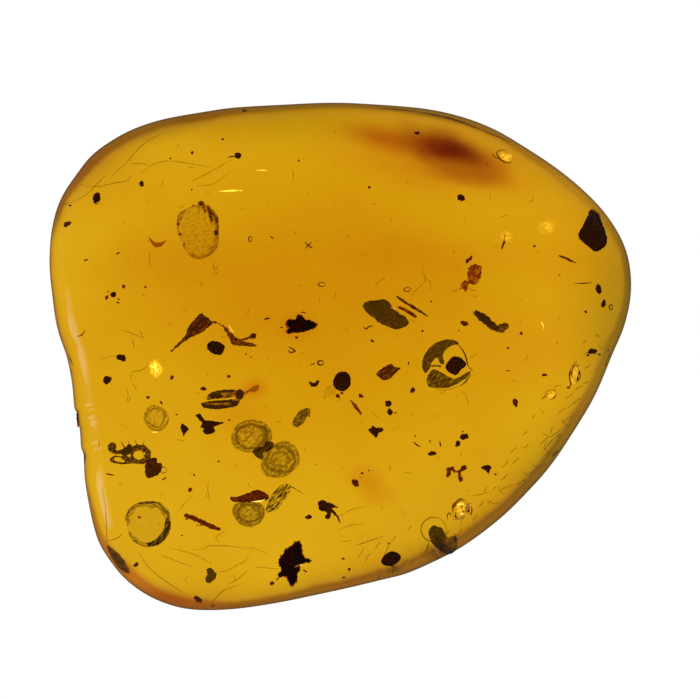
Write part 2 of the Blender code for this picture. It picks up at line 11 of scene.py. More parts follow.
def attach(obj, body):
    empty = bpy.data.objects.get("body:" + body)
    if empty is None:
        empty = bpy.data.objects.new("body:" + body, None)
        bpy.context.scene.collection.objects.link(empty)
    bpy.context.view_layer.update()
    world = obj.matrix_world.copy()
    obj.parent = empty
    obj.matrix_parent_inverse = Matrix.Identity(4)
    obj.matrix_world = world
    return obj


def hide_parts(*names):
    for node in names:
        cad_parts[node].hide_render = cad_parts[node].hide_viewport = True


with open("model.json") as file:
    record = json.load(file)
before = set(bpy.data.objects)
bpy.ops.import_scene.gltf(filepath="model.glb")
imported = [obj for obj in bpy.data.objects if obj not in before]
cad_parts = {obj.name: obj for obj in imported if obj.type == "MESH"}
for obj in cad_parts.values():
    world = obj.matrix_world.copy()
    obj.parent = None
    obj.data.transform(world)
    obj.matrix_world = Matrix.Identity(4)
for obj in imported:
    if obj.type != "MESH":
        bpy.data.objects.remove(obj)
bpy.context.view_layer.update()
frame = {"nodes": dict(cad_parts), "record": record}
print("frame loaded:", len(frame["nodes"]), "nodes")

# Places and sizes are read from a drawing grid laid over the stone, 580 squares to its length,
# with u to the right and v down. They become millimetres, and then metres, only in a mesh.
mm = 0.001
grid = {"square": 22.0 / 580, "middle": (341.0, 356.5)}


def spot(u, v):
    return (u - grid["middle"][0]) * grid["square"], (grid["middle"][1] - v) * grid["square"]


# The copy stand: a camera straight above a lit table, in a soft dim room
studio = {
    "lensDistance": 0.25,        # metres from the widest part of the stone
    "viewWidth": 0.02655,        # metres across the picture at that height
    "aim": (0.000341, 0.000266),
    "clip": (0.01, 10.0),
    "bounces": 24,
    "mirrorBounces": 8,
    "tableSize": 1.2,
    "tableUnder": 0.0001,        # metres from the stone's flat down to the table
    "tableLight": 1.0,
    "below": (0.17, 0.10, 0.035),  # dull brown of the room under the table's level
    "belowUpTo": 0.46,           # share of the way from straight down to straight up
    "sky": ((0.50, 0.08), (0.75, 0.14), (0.9, 0.07), (1.0, 0.02)),  # grey, from level to overhead
    "softboxWay": 193.0,         # degrees round from the right
    "softboxUp": 44.0,           # degrees up from the table
    "softboxAway": 0.80,         # metres
    "softboxSize": (0.17, 1.0),  # metres across and up
    "softboxGlow": 2.0,
    "softboxSoft": 0.7,          # how much of the way in from its edge the glow takes to be full
}

scene = bpy.context.scene
scene.view_settings.view_transform = "Standard"
scene.view_settings.look = "None"
scene.cycles.max_bounces = studio["bounces"]
scene.cycles.transmission_bounces = studio["bounces"]
scene.cycles.glossy_bounces = studio["mirrorBounces"]


def makeCamera():
    data = bpy.data.cameras.new("copyStand")
    data.sensor_width = 36.0
    data.lens = data.sensor_width * studio["lensDistance"] / studio["viewWidth"]
    data.clip_start, data.clip_end = studio["clip"]
    camera = bpy.data.objects.new("copyStand", data)
    camera.location = (*studio["aim"], stone["girdle"] * mm + studio["lensDistance"])
    scene.collection.objects.link(camera)
    scene.camera = camera


def wire(tree, start, end):
    tree.links.new(start, end)


def node(tree, kind, **values):
    made = tree.nodes.new("ShaderNode" + kind)
    for key, value in values.items():
        if hasattr(made, key):
            setattr(made, key, value)
        else:
            made.inputs[key.replace("_", " ")].default_value = value
    return made


def grey(value):
    return (value, value, value, 1)


def makeSky():  # soft room light from all round, with the dark of the camera overhead
    world = bpy.data.worlds.new("softRoom")
    scene.world = world
    world.use_nodes = True
    tree = world.node_tree
    place = node(tree, "TexCoord")
    parts = node(tree, "SeparateXYZ")
    height = node(tree, "MapRange", From_Min=-1.0)
    ramp = node(tree, "ValToRGB")
    ends = ramp.color_ramp.elements
    ends[0].position, ends[0].color = studio["belowUpTo"], (*studio["below"], 1)
    ends[1].position, ends[1].color = studio["sky"][-1][0], grey(studio["sky"][-1][1])
    for up, shade in studio["sky"][:-1]:
        ends.new(up).color = grey(shade)
    wire(tree, place.outputs["Generated"], parts.inputs[0])
    wire(tree, parts.outputs["Z"], height.inputs["Value"])
    wire(tree, height.outputs[0], ramp.inputs[0])
    wire(tree, ramp.outputs[0], tree.nodes["Background"].inputs["Color"])


def stageSheet(name, size, place):
    mesh = bpy.data.meshes.new(name)
    wide, tall = size[0] / 2, size[1] / 2
    mesh.from_pydata([(-wide, -tall, 0), (wide, -tall, 0), (wide, tall, 0), (-wide, tall, 0)],
                     [], [(0, 1, 2, 3)])
    sheet = bpy.data.objects.new(name, mesh)
    sheet.location = place
    scene.collection.objects.link(sheet)
    finish, tree, shader = newFinish(name)
    mesh.materials.append(finish)
    return sheet, tree, shader


def makeTable():  # a lit table top that gloss on the stone's rim doesn't mirror
    size = (studio["tableSize"], studio["tableSize"])
    table, _, shader = stageSheet("lightTable", size, (0, 0, -studio["tableUnder"]))
    shader.inputs["Base Color"].default_value = grey(0.1)
    shader.inputs["Roughness"].default_value = 0.9
    shader.inputs["Emission Color"].default_value = grey(1.0)
    shader.inputs["Emission Strength"].default_value = studio["tableLight"]
    table.visible_glossy = False


def makeSoftbox():  # the soft-edged lamp on the left that leaves the pale streak along the rim
    turn, up = radians(studio["softboxWay"]), radians(studio["softboxUp"])
    place = Vector((cos(turn) * cos(up), sin(turn) * cos(up), sin(up))) * studio["softboxAway"]
    box, tree, shader = stageSheet("softbox", studio["softboxSize"], place)
    box.rotation_euler = (-place).to_track_quat("Z", "Y").to_euler()
    box.visible_camera = False
    wide, tall = studio["softboxSize"]
    mapping = node(tree, "Mapping", Scale=(2 / wide, 2 / tall, 0))
    ball = node(tree, "TexGradient", gradient_type="SPHERICAL")
    glow = node(tree, "MapRange", interpolation_type="SMOOTHSTEP", From_Max=studio["softboxSoft"],
                To_Max=studio["softboxGlow"])
    wire(tree, node(tree, "TexCoord").outputs["Object"], mapping.inputs[0])
    wire(tree, mapping.outputs[0], ball.inputs[0])
    wire(tree, ball.outputs["Fac"], glow.inputs["Value"])
    wire(tree, glow.outputs[0], shader.inputs["Emission Strength"])
    shader.inputs["Base Color"].default_value = grey(0.0)
    shader.inputs["Emission Color"].default_value = grey(1.0)


def newFinish(name):
    made = bpy.data.materials.new(name)
    made.use_nodes = True
    tree = made.node_tree
    return made, tree, tree.nodes["Principled BSDF"]


# The stone, in millimetres: flat below and nearly flat on top, with a steep rounded rim
stone = {
    "height": 4.8,
    "girdle": 2.2,                       # how high its widest part lies
    "baseShare": 0.92,                   # how far out the flat back reaches
    "flatness": 45.0,
    "roundness": 2.2,
    "rimPoints": 560,
    "rimEvened": 8,                      # times that small bumps are taken out of the rim
    "domeRings": 64,
    "baseRings": 24,
    "backRings": (0.4, 0.7),             # shares of the rings on the flat back
    "topRings": (0.6, 0.3),
    "waviness": 0.03,
    "waves": 0.45,                       # waves to a millimetre
    "ior": 1.54,
    "lensFrom": 0.86,                    # share of the reach where the shoulder starts to bend
    "lensUpTo": 0.985,
    "absorbs": (0.951, 0.830, 0.0),      # colour left of the light over one unit of depth
    "depth": 1000.0,                     # how strongly, for each metre
    "belowTint": (0.9, 0.8, 0.7),
    "mottle": (0.975, 0.90, 0.85),
    "mottleGrain": 260.0,                # features to a metre
    "mottleRange": (0.32, 0.68),
    "drift": 0.0006,                     # how far the colour clouds wander, in metres
    "driftGrain": 420.0,
}

# The rim on the grid, clockwise from the top, with two small chips on the left
rim = (
    (340, 103), (381, 105), (421, 109), (453.5, 115), (481, 123.5), (503.5, 134), (529, 150),
    (554, 167), (580.5, 187.5), (602, 208.5), (618, 232), (627, 254), (630.5, 278), (629.5, 302),
    (623, 329), (612.5, 353), (600, 384), (589, 406), (574.5, 429.5), (558.5, 454), (543.5, 474),
    (526.5, 492.5), (506, 513), (483.5, 531.5), (459, 548.5), (434.5, 561), (407, 573),
    (386, 578.5), (357, 585.5), (328, 592), (298, 598.5), (270, 604), (240.5, 608), (212, 609.5),
    (185, 608), (161, 601.5), (141, 591.5), (123.5, 577.5), (111, 562), (100, 543.5), (93.5, 522),
    (88, 497), (85, 478), (84.4, 464), (84, 453), (81.6, 448), (81, 438), (80, 427), (77.6, 420),
    (77.2, 412), (75, 409), (74, 400), (72, 380), (67, 355), (61, 338), (56, 318), (53, 298),
    (50, 274), (50, 253), (52, 231), (57, 210), (65, 192), (77, 174.5), (90.5, 157), (108, 143.5),
    (132, 130), (164, 119.5), (203, 112.5), (240, 107), (290, 104.5),
)

# Painted shade along the rim: a brown band that stands in for the dim room the steep rim shows,
# with a darker painted line inside it for the stone's lower edge seen through the rim. Rows: number
# of the rim point, width on the grid, tint, tint of its inner line, and how strong the paler skirt
# of painted shade inside it is
rimShade = (
    (0, 7, (0.24, 0.20, 0.5), (0.24, 0.20, 0.5), 0.7),
    (3, 9, (0.17, 0.15, 0.5), (0.13, 0.10, 0.4), 0.8),
    (6, 10, (0.30, 0.25, 0.5), (0.26, 0.20, 0.4), 0.7),
    (8, 11, (0.46, 0.37, 0.6), (0.42, 0.33, 0.6), 0.7),
    (12, 8, (0.30, 0.30, 0.6), (0.28, 0.28, 0.6), 0.35),
    (15, 12, (0.34, 0.34, 0.6), (0.30, 0.28, 0.5), 0.45),
    (18, 12, (0.20, 0.15, 0.6), (0.14, 0.10, 0.4), 0.8),
    (21, 12, (0.155, 0.10, 0.5), (0.10, 0.062, 0.4), 1.0),
    (25, 14, (0.19, 0.11, 0.5), (0.11, 0.06, 0.4), 1.0),
    (29, 10, (0.20, 0.10, 0.4), (0.14, 0.07, 0.3), 1.0),
    (32, 8, (0.16, 0.07, 0.4), (0.17, 0.08, 0.3), 1.0),
    (34, 12, (0.36, 0.13, 0.3), (0.32, 0.11, 0.3), 0.7),
    (37, 16, (0.54, 0.19, 0.3), (0.48, 0.15, 0.3), 0.2),
    (40, 7, (0.48, 0.24, 0.4), (0.50, 0.30, 0.4), 0.05),
    (43, 2.5, (0.86, 0.68, 0.7), (0.95, 0.9, 0.9), 0.0),
    (58, 3, (0.80, 0.60, 0.6), (0.85, 0.7, 0.8), 0.0),
    (60, 8, (0.26, 0.12, 0.4), (0.26, 0.11, 0.4), 0.5),
    (63, 12, (0.16, 0.07, 0.3), (0.13, 0.055, 0.3), 1.0),
    (67, 9, (0.20, 0.12, 0.4), (0.15, 0.09, 0.4), 1.0),
)
skirt = {"tint": (0.38, 0.24, 0.5), "reach": 1.2}   # paler painted shade just inside the band; the reach is a share of the band's width
rimShadeLook = {
    "roughness": 0.24,
    "matteUpTo": 1.15,              # shares of the rim band's width, from the rim in
    "lineAt": 0.86,
    "lineWidth": 0.18,
    "fadeUpTo": 1.35,
    "fadeOver": 0.6,
    "slowWaver": (0.10, 0.7),       # how much the width changes, and changes to a millimetre
    "fastWaver": (0.08, 3.1),
    "streaks": 0.22,
    "streakGrain": (0.3, 0.8),      # along the rim to a millimetre, and in from it to a square
}

# Painted shade at the two chips, as dark patches: centre and half-widths on the grid, and tint
chipShade = (
    ((78.6, 417.5), (3.4, 9), (0.02, 0.008, 0.02)),
    ((85.4, 456.5), (3.4, 7), (0.02, 0.008, 0.02)),
)

# Colour clouds in the resin: centre and half-widths on the grid, turn in degrees, tint, and
# how much of the way in from the edge the tint takes to be full
clouds = {
    "goldBody": ((325, 300), (335, 260), 0, (0.915, 0.83, 0.35), 0.7),
    "orangeMiddle": ((330, 285), (260, 130), 0, (0.93, 0.80, 0.6), 0.9),
    "orangeBand": ((420, 255), (150, 30), 3, (0.97, 0.90, 0.8), 1.0),
    "orangeLeft": ((150, 262), (110, 46), -4, (0.95, 0.88, 0.8), 1.0),
    "orangeRight": ((570, 262), (90, 70), 6, (1.0, 0.88, 0.7), 1.0),
    "orangeLow": ((545, 345), (90, 60), -10, (1.0, 0.90, 0.8), 1.0),
    "topShade": ((300, 118), (150, 46), -2, (0.80, 0.80, 0.6), 1.0),
    "oliveEdge": ((648, 310), (110, 190), 0, (0.60, 0.62, 0.8), 0.9),
    "oliveLow": ((560, 470), (60, 80), 35, (0.86, 0.98, 1.0), 0.8),
    "smokeHalo": ((432, 158), (150, 52), 12, (0.86, 0.60, 0.70), 1.0),
    "smokeTail": ((385, 142), (62, 18), 12, (0.75, 0.46, 0.60), 1.0),
    "smokeBody": ((443, 150), (68, 26), 21, (0.38, 0.13, 0.50), 0.9),
    "smokeHeart": ((454, 153), (36, 15), 22, (0.62, 0.42, 0.60), 0.9),
    "smokeEnd": ((486, 168), (40, 20), 24, (0.78, 0.56, 0.70), 1.0),
    "smokeStreak": ((470, 179), (62, 14), 11, (0.76, 0.54, 0.75), 0.9),
    "beetleRust": ((253, 388), (22, 15), -20, (0.95, 0.66, 0.6), 1.0),
    "topLeftGrey": ((178, 127), (80, 16), -20, (0.80, 0.78, 0.7), 1.0),
    "smudgeTop": ((365, 477), (26, 19), 10, (0.93, 0.76, 0.60), 1.0),
    "smudgeLow": ((377, 493), (26, 20), 30, (0.95, 0.80, 0.60), 1.0),
    "rustAtGrain": ((300, 327), (30, 20), 0, (0.95, 0.80, 0.7), 1.0),
    "rustAtCrumb": ((240, 415), (60, 34), 0, (0.96, 0.86, 0.7), 1.0),
    "lowerLeftRust": ((175, 598), (60, 16), 12, (0.80, 0.55, 0.50), 1.0),
    "lowRightRust": ((447, 556), (34, 15), 22, (0.50, 0.36, 0.50), 0.9),
}


# Two colours mixed by a share, where each of the three is a socket or a value
def mixed(tree, first, second, share=1.0, kind="MULTIPLY"):
    mix = node(tree, "Mix", data_type="RGBA", blend_type=kind)
    factor, low, high = (mix.inputs[k] for k in (0, 6, 7))   # the ones that a colour mix uses
    for socket, given in ((factor, share), (low, first), (high, second)):
        if isinstance(given, bpy.types.NodeSocket):
            wire(tree, given, socket)
        else:
            socket.default_value = given
    return mix.outputs[2]


def cloud(tree, base, place, centre, reach, turn, tint, soft):
    x, y = spot(*centre)
    scale = grid["square"] * mm
    mapping = node(tree, "Mapping", vector_type="TEXTURE", Location=(x * mm, y * mm, 0),
                   Rotation=(0, 0, radians(-turn)), Scale=(reach[0] * scale, reach[1] * scale, 1))
    ball = node(tree, "TexGradient", gradient_type="SPHERICAL")
    edge = node(tree, "MapRange", interpolation_type="SMOOTHSTEP", From_Max=soft)
    wire(tree, place, mapping.inputs[0])
    wire(tree, mapping.outputs[0], ball.inputs[0])
    wire(tree, ball.outputs["Fac"], edge.inputs["Value"])
    return mixed(tree, base, (*tint, 1), edge.outputs[0])


def makeAmberFinish():
    made, tree, shader = newFinish("clearAmber")
    place = node(tree, "TexCoord").outputs["Object"]
    level = node(tree, "VectorMath", operation="MULTIPLY")
    level.inputs[1].default_value = (1, 1, 0)
    drift = node(tree, "TexNoise", Scale=stone["driftGrain"], Detail=3.0)
    pull = node(tree, "VectorMath", operation="MULTIPLY_ADD")
    pull.inputs[1].default_value = (stone["drift"], stone["drift"], 0)
    pull.inputs[2].default_value = (-stone["drift"] / 2, -stone["drift"] / 2, 0)
    wander = node(tree, "VectorMath", operation="ADD")
    wire(tree, place, level.inputs[0])
    wire(tree, level.outputs[0], drift.inputs["Vector"])
    wire(tree, drift.outputs["Color"], pull.inputs[0])
    wire(tree, level.outputs[0], wander.inputs[0])
    wire(tree, pull.outputs[0], wander.inputs[1])
    white = node(tree, "RGB")
    white.outputs[0].default_value = grey(1.0)
    colour = white.outputs[0]
    for values in clouds.values():
        colour = cloud(tree, colour, wander.outputs[0], *values)
    cast = node(tree, "TexNoise", Scale=stone["mottleGrain"], Detail=3.0)
    low, high = stone["mottleRange"]
    deep = node(tree, "MapRange", From_Min=low, From_Max=high)
    wire(tree, level.outputs[0], cast.inputs["Vector"])
    wire(tree, cast.outputs["Fac"], deep.inputs["Value"])
    colour = mixed(tree, colour, (*stone["mottle"], 1), deep.outputs[0])
    # The clouds lie in the upper skin only, at twice the strength, so that the rim shows them once
    twice = mixed(tree, colour, colour)
    height = node(tree, "SeparateXYZ")
    above = node(tree, "Math", operation="GREATER_THAN")
    above.inputs[1].default_value = stone["girdle"] * mm
    wire(tree, place, height.inputs[0])
    wire(tree, height.outputs["Z"], above.inputs[0])
    skin = mixed(tree, white.outputs[0], twice, above.outputs[0], "MIX")
    # painted shade along the rim, carried in the mesh as a tint
    rimShadeColour = node(tree, "Attribute", attribute_name="rimShadeTint").outputs["Color"]
    matte = node(tree, "Attribute", attribute_name="rimBandMatte").outputs["Fac"]
    wire(tree, mixed(tree, skin, rimShadeColour), shader.inputs["Base Color"])
    wire(tree, matte, shader.inputs["Roughness"])
    shader.inputs["Transmission Weight"].default_value = 1.0
    shader.inputs["IOR"].default_value = stone["ior"]
    depth = node(tree, "VolumeAbsorption", Color=(*stone["absorbs"], 1), Density=stone["depth"])
    wire(tree, depth.outputs[0], tree.nodes["Material Output"].inputs["Volume"])
    return made


def smoothLoop(points, count):  # evenly spaced along a closed smooth curve through the points
    loop = []
    for index in range(count):
        along = index / count * len(points)
        start = int(along)
        part = along - start
        p, q, r, s = (Vector(points[(start + k) % len(points)]) for k in (-1, 0, 1, 2))
        loop.append(0.5 * (2 * q + (r - p) * part + (2 * p - 5 * q + 4 * r - s) * part ** 2
                           + (3 * q - p - 3 * r + s) * part ** 3))
    return loop


# The old resin flow that everything sealed in lies on, in millimetres
flow = {"level": 3.9, "swell": 0.3, "reach": (11.4, 10.0), "waves": (0.36, 0.30), "start": 2.2}


def flowHeight(x, y):
    wide, tall = flow["reach"]
    inside = max(0.0, 1.0 - (x / wide) ** 2 - (y / tall) ** 2)
    wave = sin(flow["waves"][0] * x + flow["start"]) * cos(flow["waves"][1] * y)
    return flow["level"] + flow["swell"] * inside * wave


def evened(loop, times):  # the same closed line with its small bumps taken out
    for _ in range(times):
        loop = [(loop[k - 1] + 2 * point + loop[(k + 1) % len(loop)]) / 4
                for k, point in enumerate(loop)]
    return loop


rimLine = evened(smoothLoop(rim, stone["rimPoints"]), stone["rimEvened"])
rimLoop = [Vector(spot(*point)) for point in rimLine]
rimReach = sorted((atan2(p.y, p.x), p.length) for p in rimLoop)


def rimShare(x, y):  # how far out towards the rim a place lies, 1 at the rim
    way = atan2(y, x)
    after = bisect(rimReach, (way, 0.0)) % len(rimReach)
    (first, near), (last, far) = rimReach[after - 1], rimReach[after]
    part = ((way - first) % tau) / max((last - first) % tau, 1e-9)
    return hypot(x, y) / (near + (far - near) * part)


def throughLens(place):  # where a thing has to lie to be seen at a place through the shoulder
    share = rimShare(place.x, place.y)
    if share < stone["lensFrom"]:
        return place
    share = min(share, stone["lensUpTo"])
    power = share ** stone["flatness"]
    dome = stone["height"] - stone["girdle"]
    top = stone["girdle"] + dome * (1 - power) ** (1 / stone["roundness"])
    way = Vector((place.x, place.y, 0))
    fall = (dome / stone["roundness"] * (1 - power) ** (1 / stone["roundness"] - 1)
            * stone["flatness"] * power / share / (way.length / share))
    slope = atan(fall)
    bend = slope - asin(sin(slope) / stone["ior"])
    return place - way.normalized() * max(0.0, top - place.z) * tan(bend)


def blend(low, high, share):
    return tuple(a + (b - a) * share for a, b in zip(low, high))


def rimShadeAt(along):  # width, tint, inner line and skirt at a number along the rim's points
    after = next((k for k, stop in enumerate(rimShade) if stop[0] > along), 0)
    low, high = rimShade[after - 1], rimShade[after]
    span = (high[0] - low[0]) % len(rim)
    share = ((along - low[0]) % len(rim)) / span
    share = share * share * (3 - 2 * share)
    width, fringe = (low[k] + (high[k] - low[k]) * share for k in (1, 4))
    return width, blend(low[2], high[2], share), blend(low[3], high[3], share), fringe


def waver(place, much, grain):
    return much * noise.noise(place * grain)


def rimShadeTint(along, depth, place):  # painted shade along the rim; depth: squares in from the rim
    width, tint, line, fringe = rimShadeAt(along)
    width *= 1 + waver(place, *rimShadeLook["slowWaver"]) + waver(place, *rimShadeLook["fastWaver"])
    share = depth / width
    lined = exp(-((share - rimShadeLook["lineAt"]) / rimShadeLook["lineWidth"]) ** 2)
    around, inward = rimShadeLook["streakGrain"]
    grained = Vector((place.x * around, place.y * around, depth * inward))
    streak = 1 + waver(grained, rimShadeLook["streaks"], 1)
    band = [value * streak for value in blend(tint, line, lined)]
    outside = blend((1, 1, 1), skirt["tint"], fringe * exp(-max(0.0, share - 1) / skirt["reach"]))
    fade = min(1.0, max(0.0, (rimShadeLook["fadeUpTo"] - share) / rimShadeLook["fadeOver"]))
    colour = blend(outside, band, fade * fade * (3 - 2 * fade))
    for centre, (wide, tall), other in chipShade:
        x, y = spot(*centre)
        near = hypot((place.x - x) / wide, (place.y - y) / tall) / grid["square"]
        colour = blend(colour, other, min(1.0, max(0.0, 2.2 - 2 * near)))
    return (*colour, 1)


def rimBandMatte(along, depth):  # the rim band is ground dull, and the rest of the stone is polished
    share = min(1.0, max(0.0, rimShadeLook["matteUpTo"] - depth / rimShadeAt(along)[0]))
    return rimShadeLook["roughness"] * min(1.0, share * 3)


def stoneRings():  # share of the rim's reach and height of each ring, from the flat back up
    rings = [(share, 0.0) for share in (*stone["backRings"], stone["baseShare"])]
    for index in range(1, stone["baseRings"] + 1):
        angle = index / stone["baseRings"] * pi / 2
        reach = stone["baseShare"] + (1 - stone["baseShare"]) * sin(angle)
        rings.append((reach, stone["girdle"] * (1 - cos(angle))))
    for index in range(1, stone["domeRings"]):
        angle = index / stone["domeRings"] * pi / 2
        rise = sin(angle) ** (2 / stone["roundness"])
        rings.append((cos(angle) ** (2 / stone["flatness"]),
                      stone["girdle"] + (stone["height"] - stone["girdle"]) * rise))
    return rings + [(share, stone["height"]) for share in stone["topRings"]]


def stoneSkin(bm):
    edge, count = rimLoop, len(rimLoop)
    squares = []   # how many squares the rim lies from the middle, square to its own line
    for index, point in enumerate(edge):
        line = (edge[(index + 1) % count] - edge[index - 1]).normalized()
        squares.append(abs(point.x * line.y - point.y * line.x) / grid["square"])
    tints = bm.verts.layers.float_color.new("rimShadeTint")
    mattes = bm.verts.layers.float.new("rimBandMatte")
    rows = []
    for share, height in stoneRings():
        row = []
        for index, point in enumerate(edge):
            x, y = point.x * share, point.y * share
            wave = 0.0
            if 0.0 < height < stone["height"]:
                wave = waver(Vector((x, y, height)), stone["waviness"], stone["waves"])
            vert = bm.verts.new((x + wave, y + wave, height))
            if height >= stone["girdle"]:
                depth = (1 - share) * squares[index]
                vert[tints] = rimShadeTint(index / count * len(rim), depth, Vector((x, y, 0)))
                vert[mattes] = rimBandMatte(index / count * len(rim), depth)
            else:   # the painted rim shade fades out down the side
                left = max(0.0, height / stone["girdle"] * 2 - 1) ** 2
                colour = rimShadeTint(index / count * len(rim), 0.0, Vector((x, y, 0)))
                vert[tints] = (*blend(stone["belowTint"], colour, left), 1)
                vert[mattes] = rimBandMatte(index / count * len(rim), 0.0) * left
            row.append(vert)
        rows.append(row)
    bottom, top = bm.verts.new((0, 0, 0)), bm.verts.new((0, 0, stone["height"]))
    for vert in (bottom, top, *rows[0], *rows[1], *rows[2]):
        vert[tints] = (1, 1, 1, 1)
    for index in range(count):
        after = (index + 1) % count
        bm.faces.new((bottom, rows[0][index], rows[0][after]))
        bm.faces.new((top, rows[-1][after], rows[-1][index]))
        for low, high in zip(rows, rows[1:]):
            bm.faces.new((low[index], high[index], high[after], low[after]))


# Air bubbles: centre and half-widths on the grid, turn, thickness in millimetres, crumple,
# and tilt about X and Y in degrees
bubbleMesh = {"sides": 48, "steps": 24, "lift": 0.35}
bubbles = {
    "flakeRight": ((459, 508), (7.5, 11.5), -25, 0.05, 0.07, (8, 6)),
    "bubbleLong": ((573.6, 373), (5, 9), 15, 0.08, 0.03, (0, 8)),
    "bubbleLow": ((549, 394), (6, 5), 0, 0.08, 0.03, (5, 0)),
}


def addBubble(bm, centre, reach, turn, thick, crumple, tilt):
    x, y = spot(*centre)
    seed = Vector((x, y, thick * 50))
    lean = Euler((radians(tilt[0]), radians(tilt[1]), 0)).to_matrix()
    spin = Matrix.Rotation(radians(turn), 3, "Z")
    tints = bm.verts.layers.float_color["rimShadeTint"]
    rows = []
    sides, steps = bubbleMesh["sides"], bubbleMesh["steps"]
    home = Vector((x, y, flowHeight(x, y) + bubbleMesh["lift"]))
    for step in range(1, steps):
        angle = pi * step / steps
        row = []
        for k in range(sides):
            point = Vector((cos(tau * k / sides), sin(tau * k / sides), 0)) * sin(angle)
            wobble = grid["square"] * (1 + 0.10 * noise.noise(point * 1.5 + seed))
            flat = spin @ Vector((point.x * reach[0] * wobble, point.y * reach[1] * wobble, 0))
            swell = thick / 2 * cos(angle) * (0.75 + 0.5 * noise.noise(flat * 6 + seed))
            wave = crumple * noise.fractal(flat * 3.0 + seed, 0.8, 2.0, 3)
            place = home + lean @ Vector((flat.x, flat.y, swell + wave))
            row.append(bm.verts.new(throughLens(place)))
        rows.append(row)
    ends = [bm.verts.new(sum((vert.co for vert in row), Vector()) / sides)
            for row in (rows[0], rows[-1])]
    for vert in (*ends, *(vert for row in rows for vert in row)):
        vert[tints] = (1, 1, 1, 1)
    for k in range(sides):
        after = (k + 1) % sides
        bm.faces.new((ends[0], rows[0][after], rows[0][k]))
        bm.faces.new((ends[1], rows[-1][k], rows[-1][after]))
        for near, far in zip(rows, rows[1:]):
            bm.faces.new((near[k], near[after], far[after], far[k]))


def makeStone():
    bm = bmesh.new()
    stoneSkin(bm)
    for values in bubbles.values():
        addBubble(bm, *values)
    bmesh.ops.scale(bm, vec=(mm, mm, mm), verts=bm.verts)
    mesh = bpy.data.meshes.new("amber_stone")
    bm.to_mesh(mesh)
    bm.free()
    mesh.shade_smooth()
    mesh.materials.append(makeAmberFinish())
    piece = bpy.data.objects.new("amber_stone", mesh)
    scene.collection.objects.link(piece)
    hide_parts("amber_top", "amber_base")
    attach(piece, "root")
    print("stone and its bubbles")


# Finishes of the sealed things: colour of thick parts, of thinner parts and of the thinnest
# edges, how much light they let through, gloss, grain in features to a metre, relief, and
# how much the grain changes the tone
sealed = {
    "charred": ((0.085, 0.038, 0.014), (0.15, 0.048, 0.015), (0.46, 0.15, 0.04), 0.6, 0.6, 9000,
                0.6, 0.24),
    "barkBrown": ((0.10, 0.045, 0.016), (0.22, 0.090, 0.028), (0.56, 0.30, 0.11), 0.7, 0.5, 9000,
                  0.5, 0.24),
    "rustRed": ((0.11, 0.028, 0.008), (0.32, 0.085, 0.020), (0.70, 0.34, 0.10), 0.8, 0.4, 8000, 0.4,
                0.24),
    "olive": ((0.14, 0.125, 0.046), (0.27, 0.23, 0.11), (0.74, 0.70, 0.46), 0.8, 0.5, 8000, 0.6,
              0.24),
    "gnatRed": ((0.24, 0.07, 0.020), (0.45, 0.15, 0.035), (0.84, 0.50, 0.16), 0.85, 0.4, 8000, 0.4,
                0.24),
    "rustGrain": ((0.17, 0.045, 0.012), (0.30, 0.08, 0.02), (0.60, 0.26, 0.08), 0.7, 0.5, 9000, 0.5,
                  0.24),
    "peatGrey": ((0.17, 0.14, 0.058), (0.24, 0.19, 0.08), (0.50, 0.36, 0.16), 0.8, 0.6, 9000, 0.6,
                 0.24),
    "shellBrown": ((0.095, 0.066, 0.027), (0.29, 0.19, 0.075), (0.84, 0.62, 0.30), 0.8, 0.35, 7000,
                   0.4, 0.2),
    "shedShell": ((0.06, 0.026, 0.010), (0.45, 0.30, 0.16), (0.96, 0.92, 0.84), 0.95, 0.25, 8000,
                  0.3, 0.1),
    "veil": ((0.05, 0.045, 0.025), (0.42, 0.38, 0.26), (0.97, 0.96, 0.92), 0.95, 0.3, 7000, 0.4,
             0.11),
}
slotOf = {"charred": "black", "barkBrown": "brown", "rustRed": "red", "olive": "olive",
          "shellBrown": "chitin", "gnatRed": "chitin",
          "rustGrain": "black", "peatGrey": "black", "shedShell": "clear_shell",
          "veil": "clear_shell",
          "painted_glint": "clear_shell", "glow": "clear_shell"}
slotOfSolid = {part["node"]: part["material_slot"] for part in frame["record"]["subparts"]}
thinAt = 4.2      # squares of thickness that count as thin
veilDepth = 3.2   # squares of thickness up to which a film shows its own tone
toneStops = (0.25, 0.6, 0.95)   # tones at which the three colours lie
sealedIor = 1.08
reliefDepth = 0.00002
finishes = {}


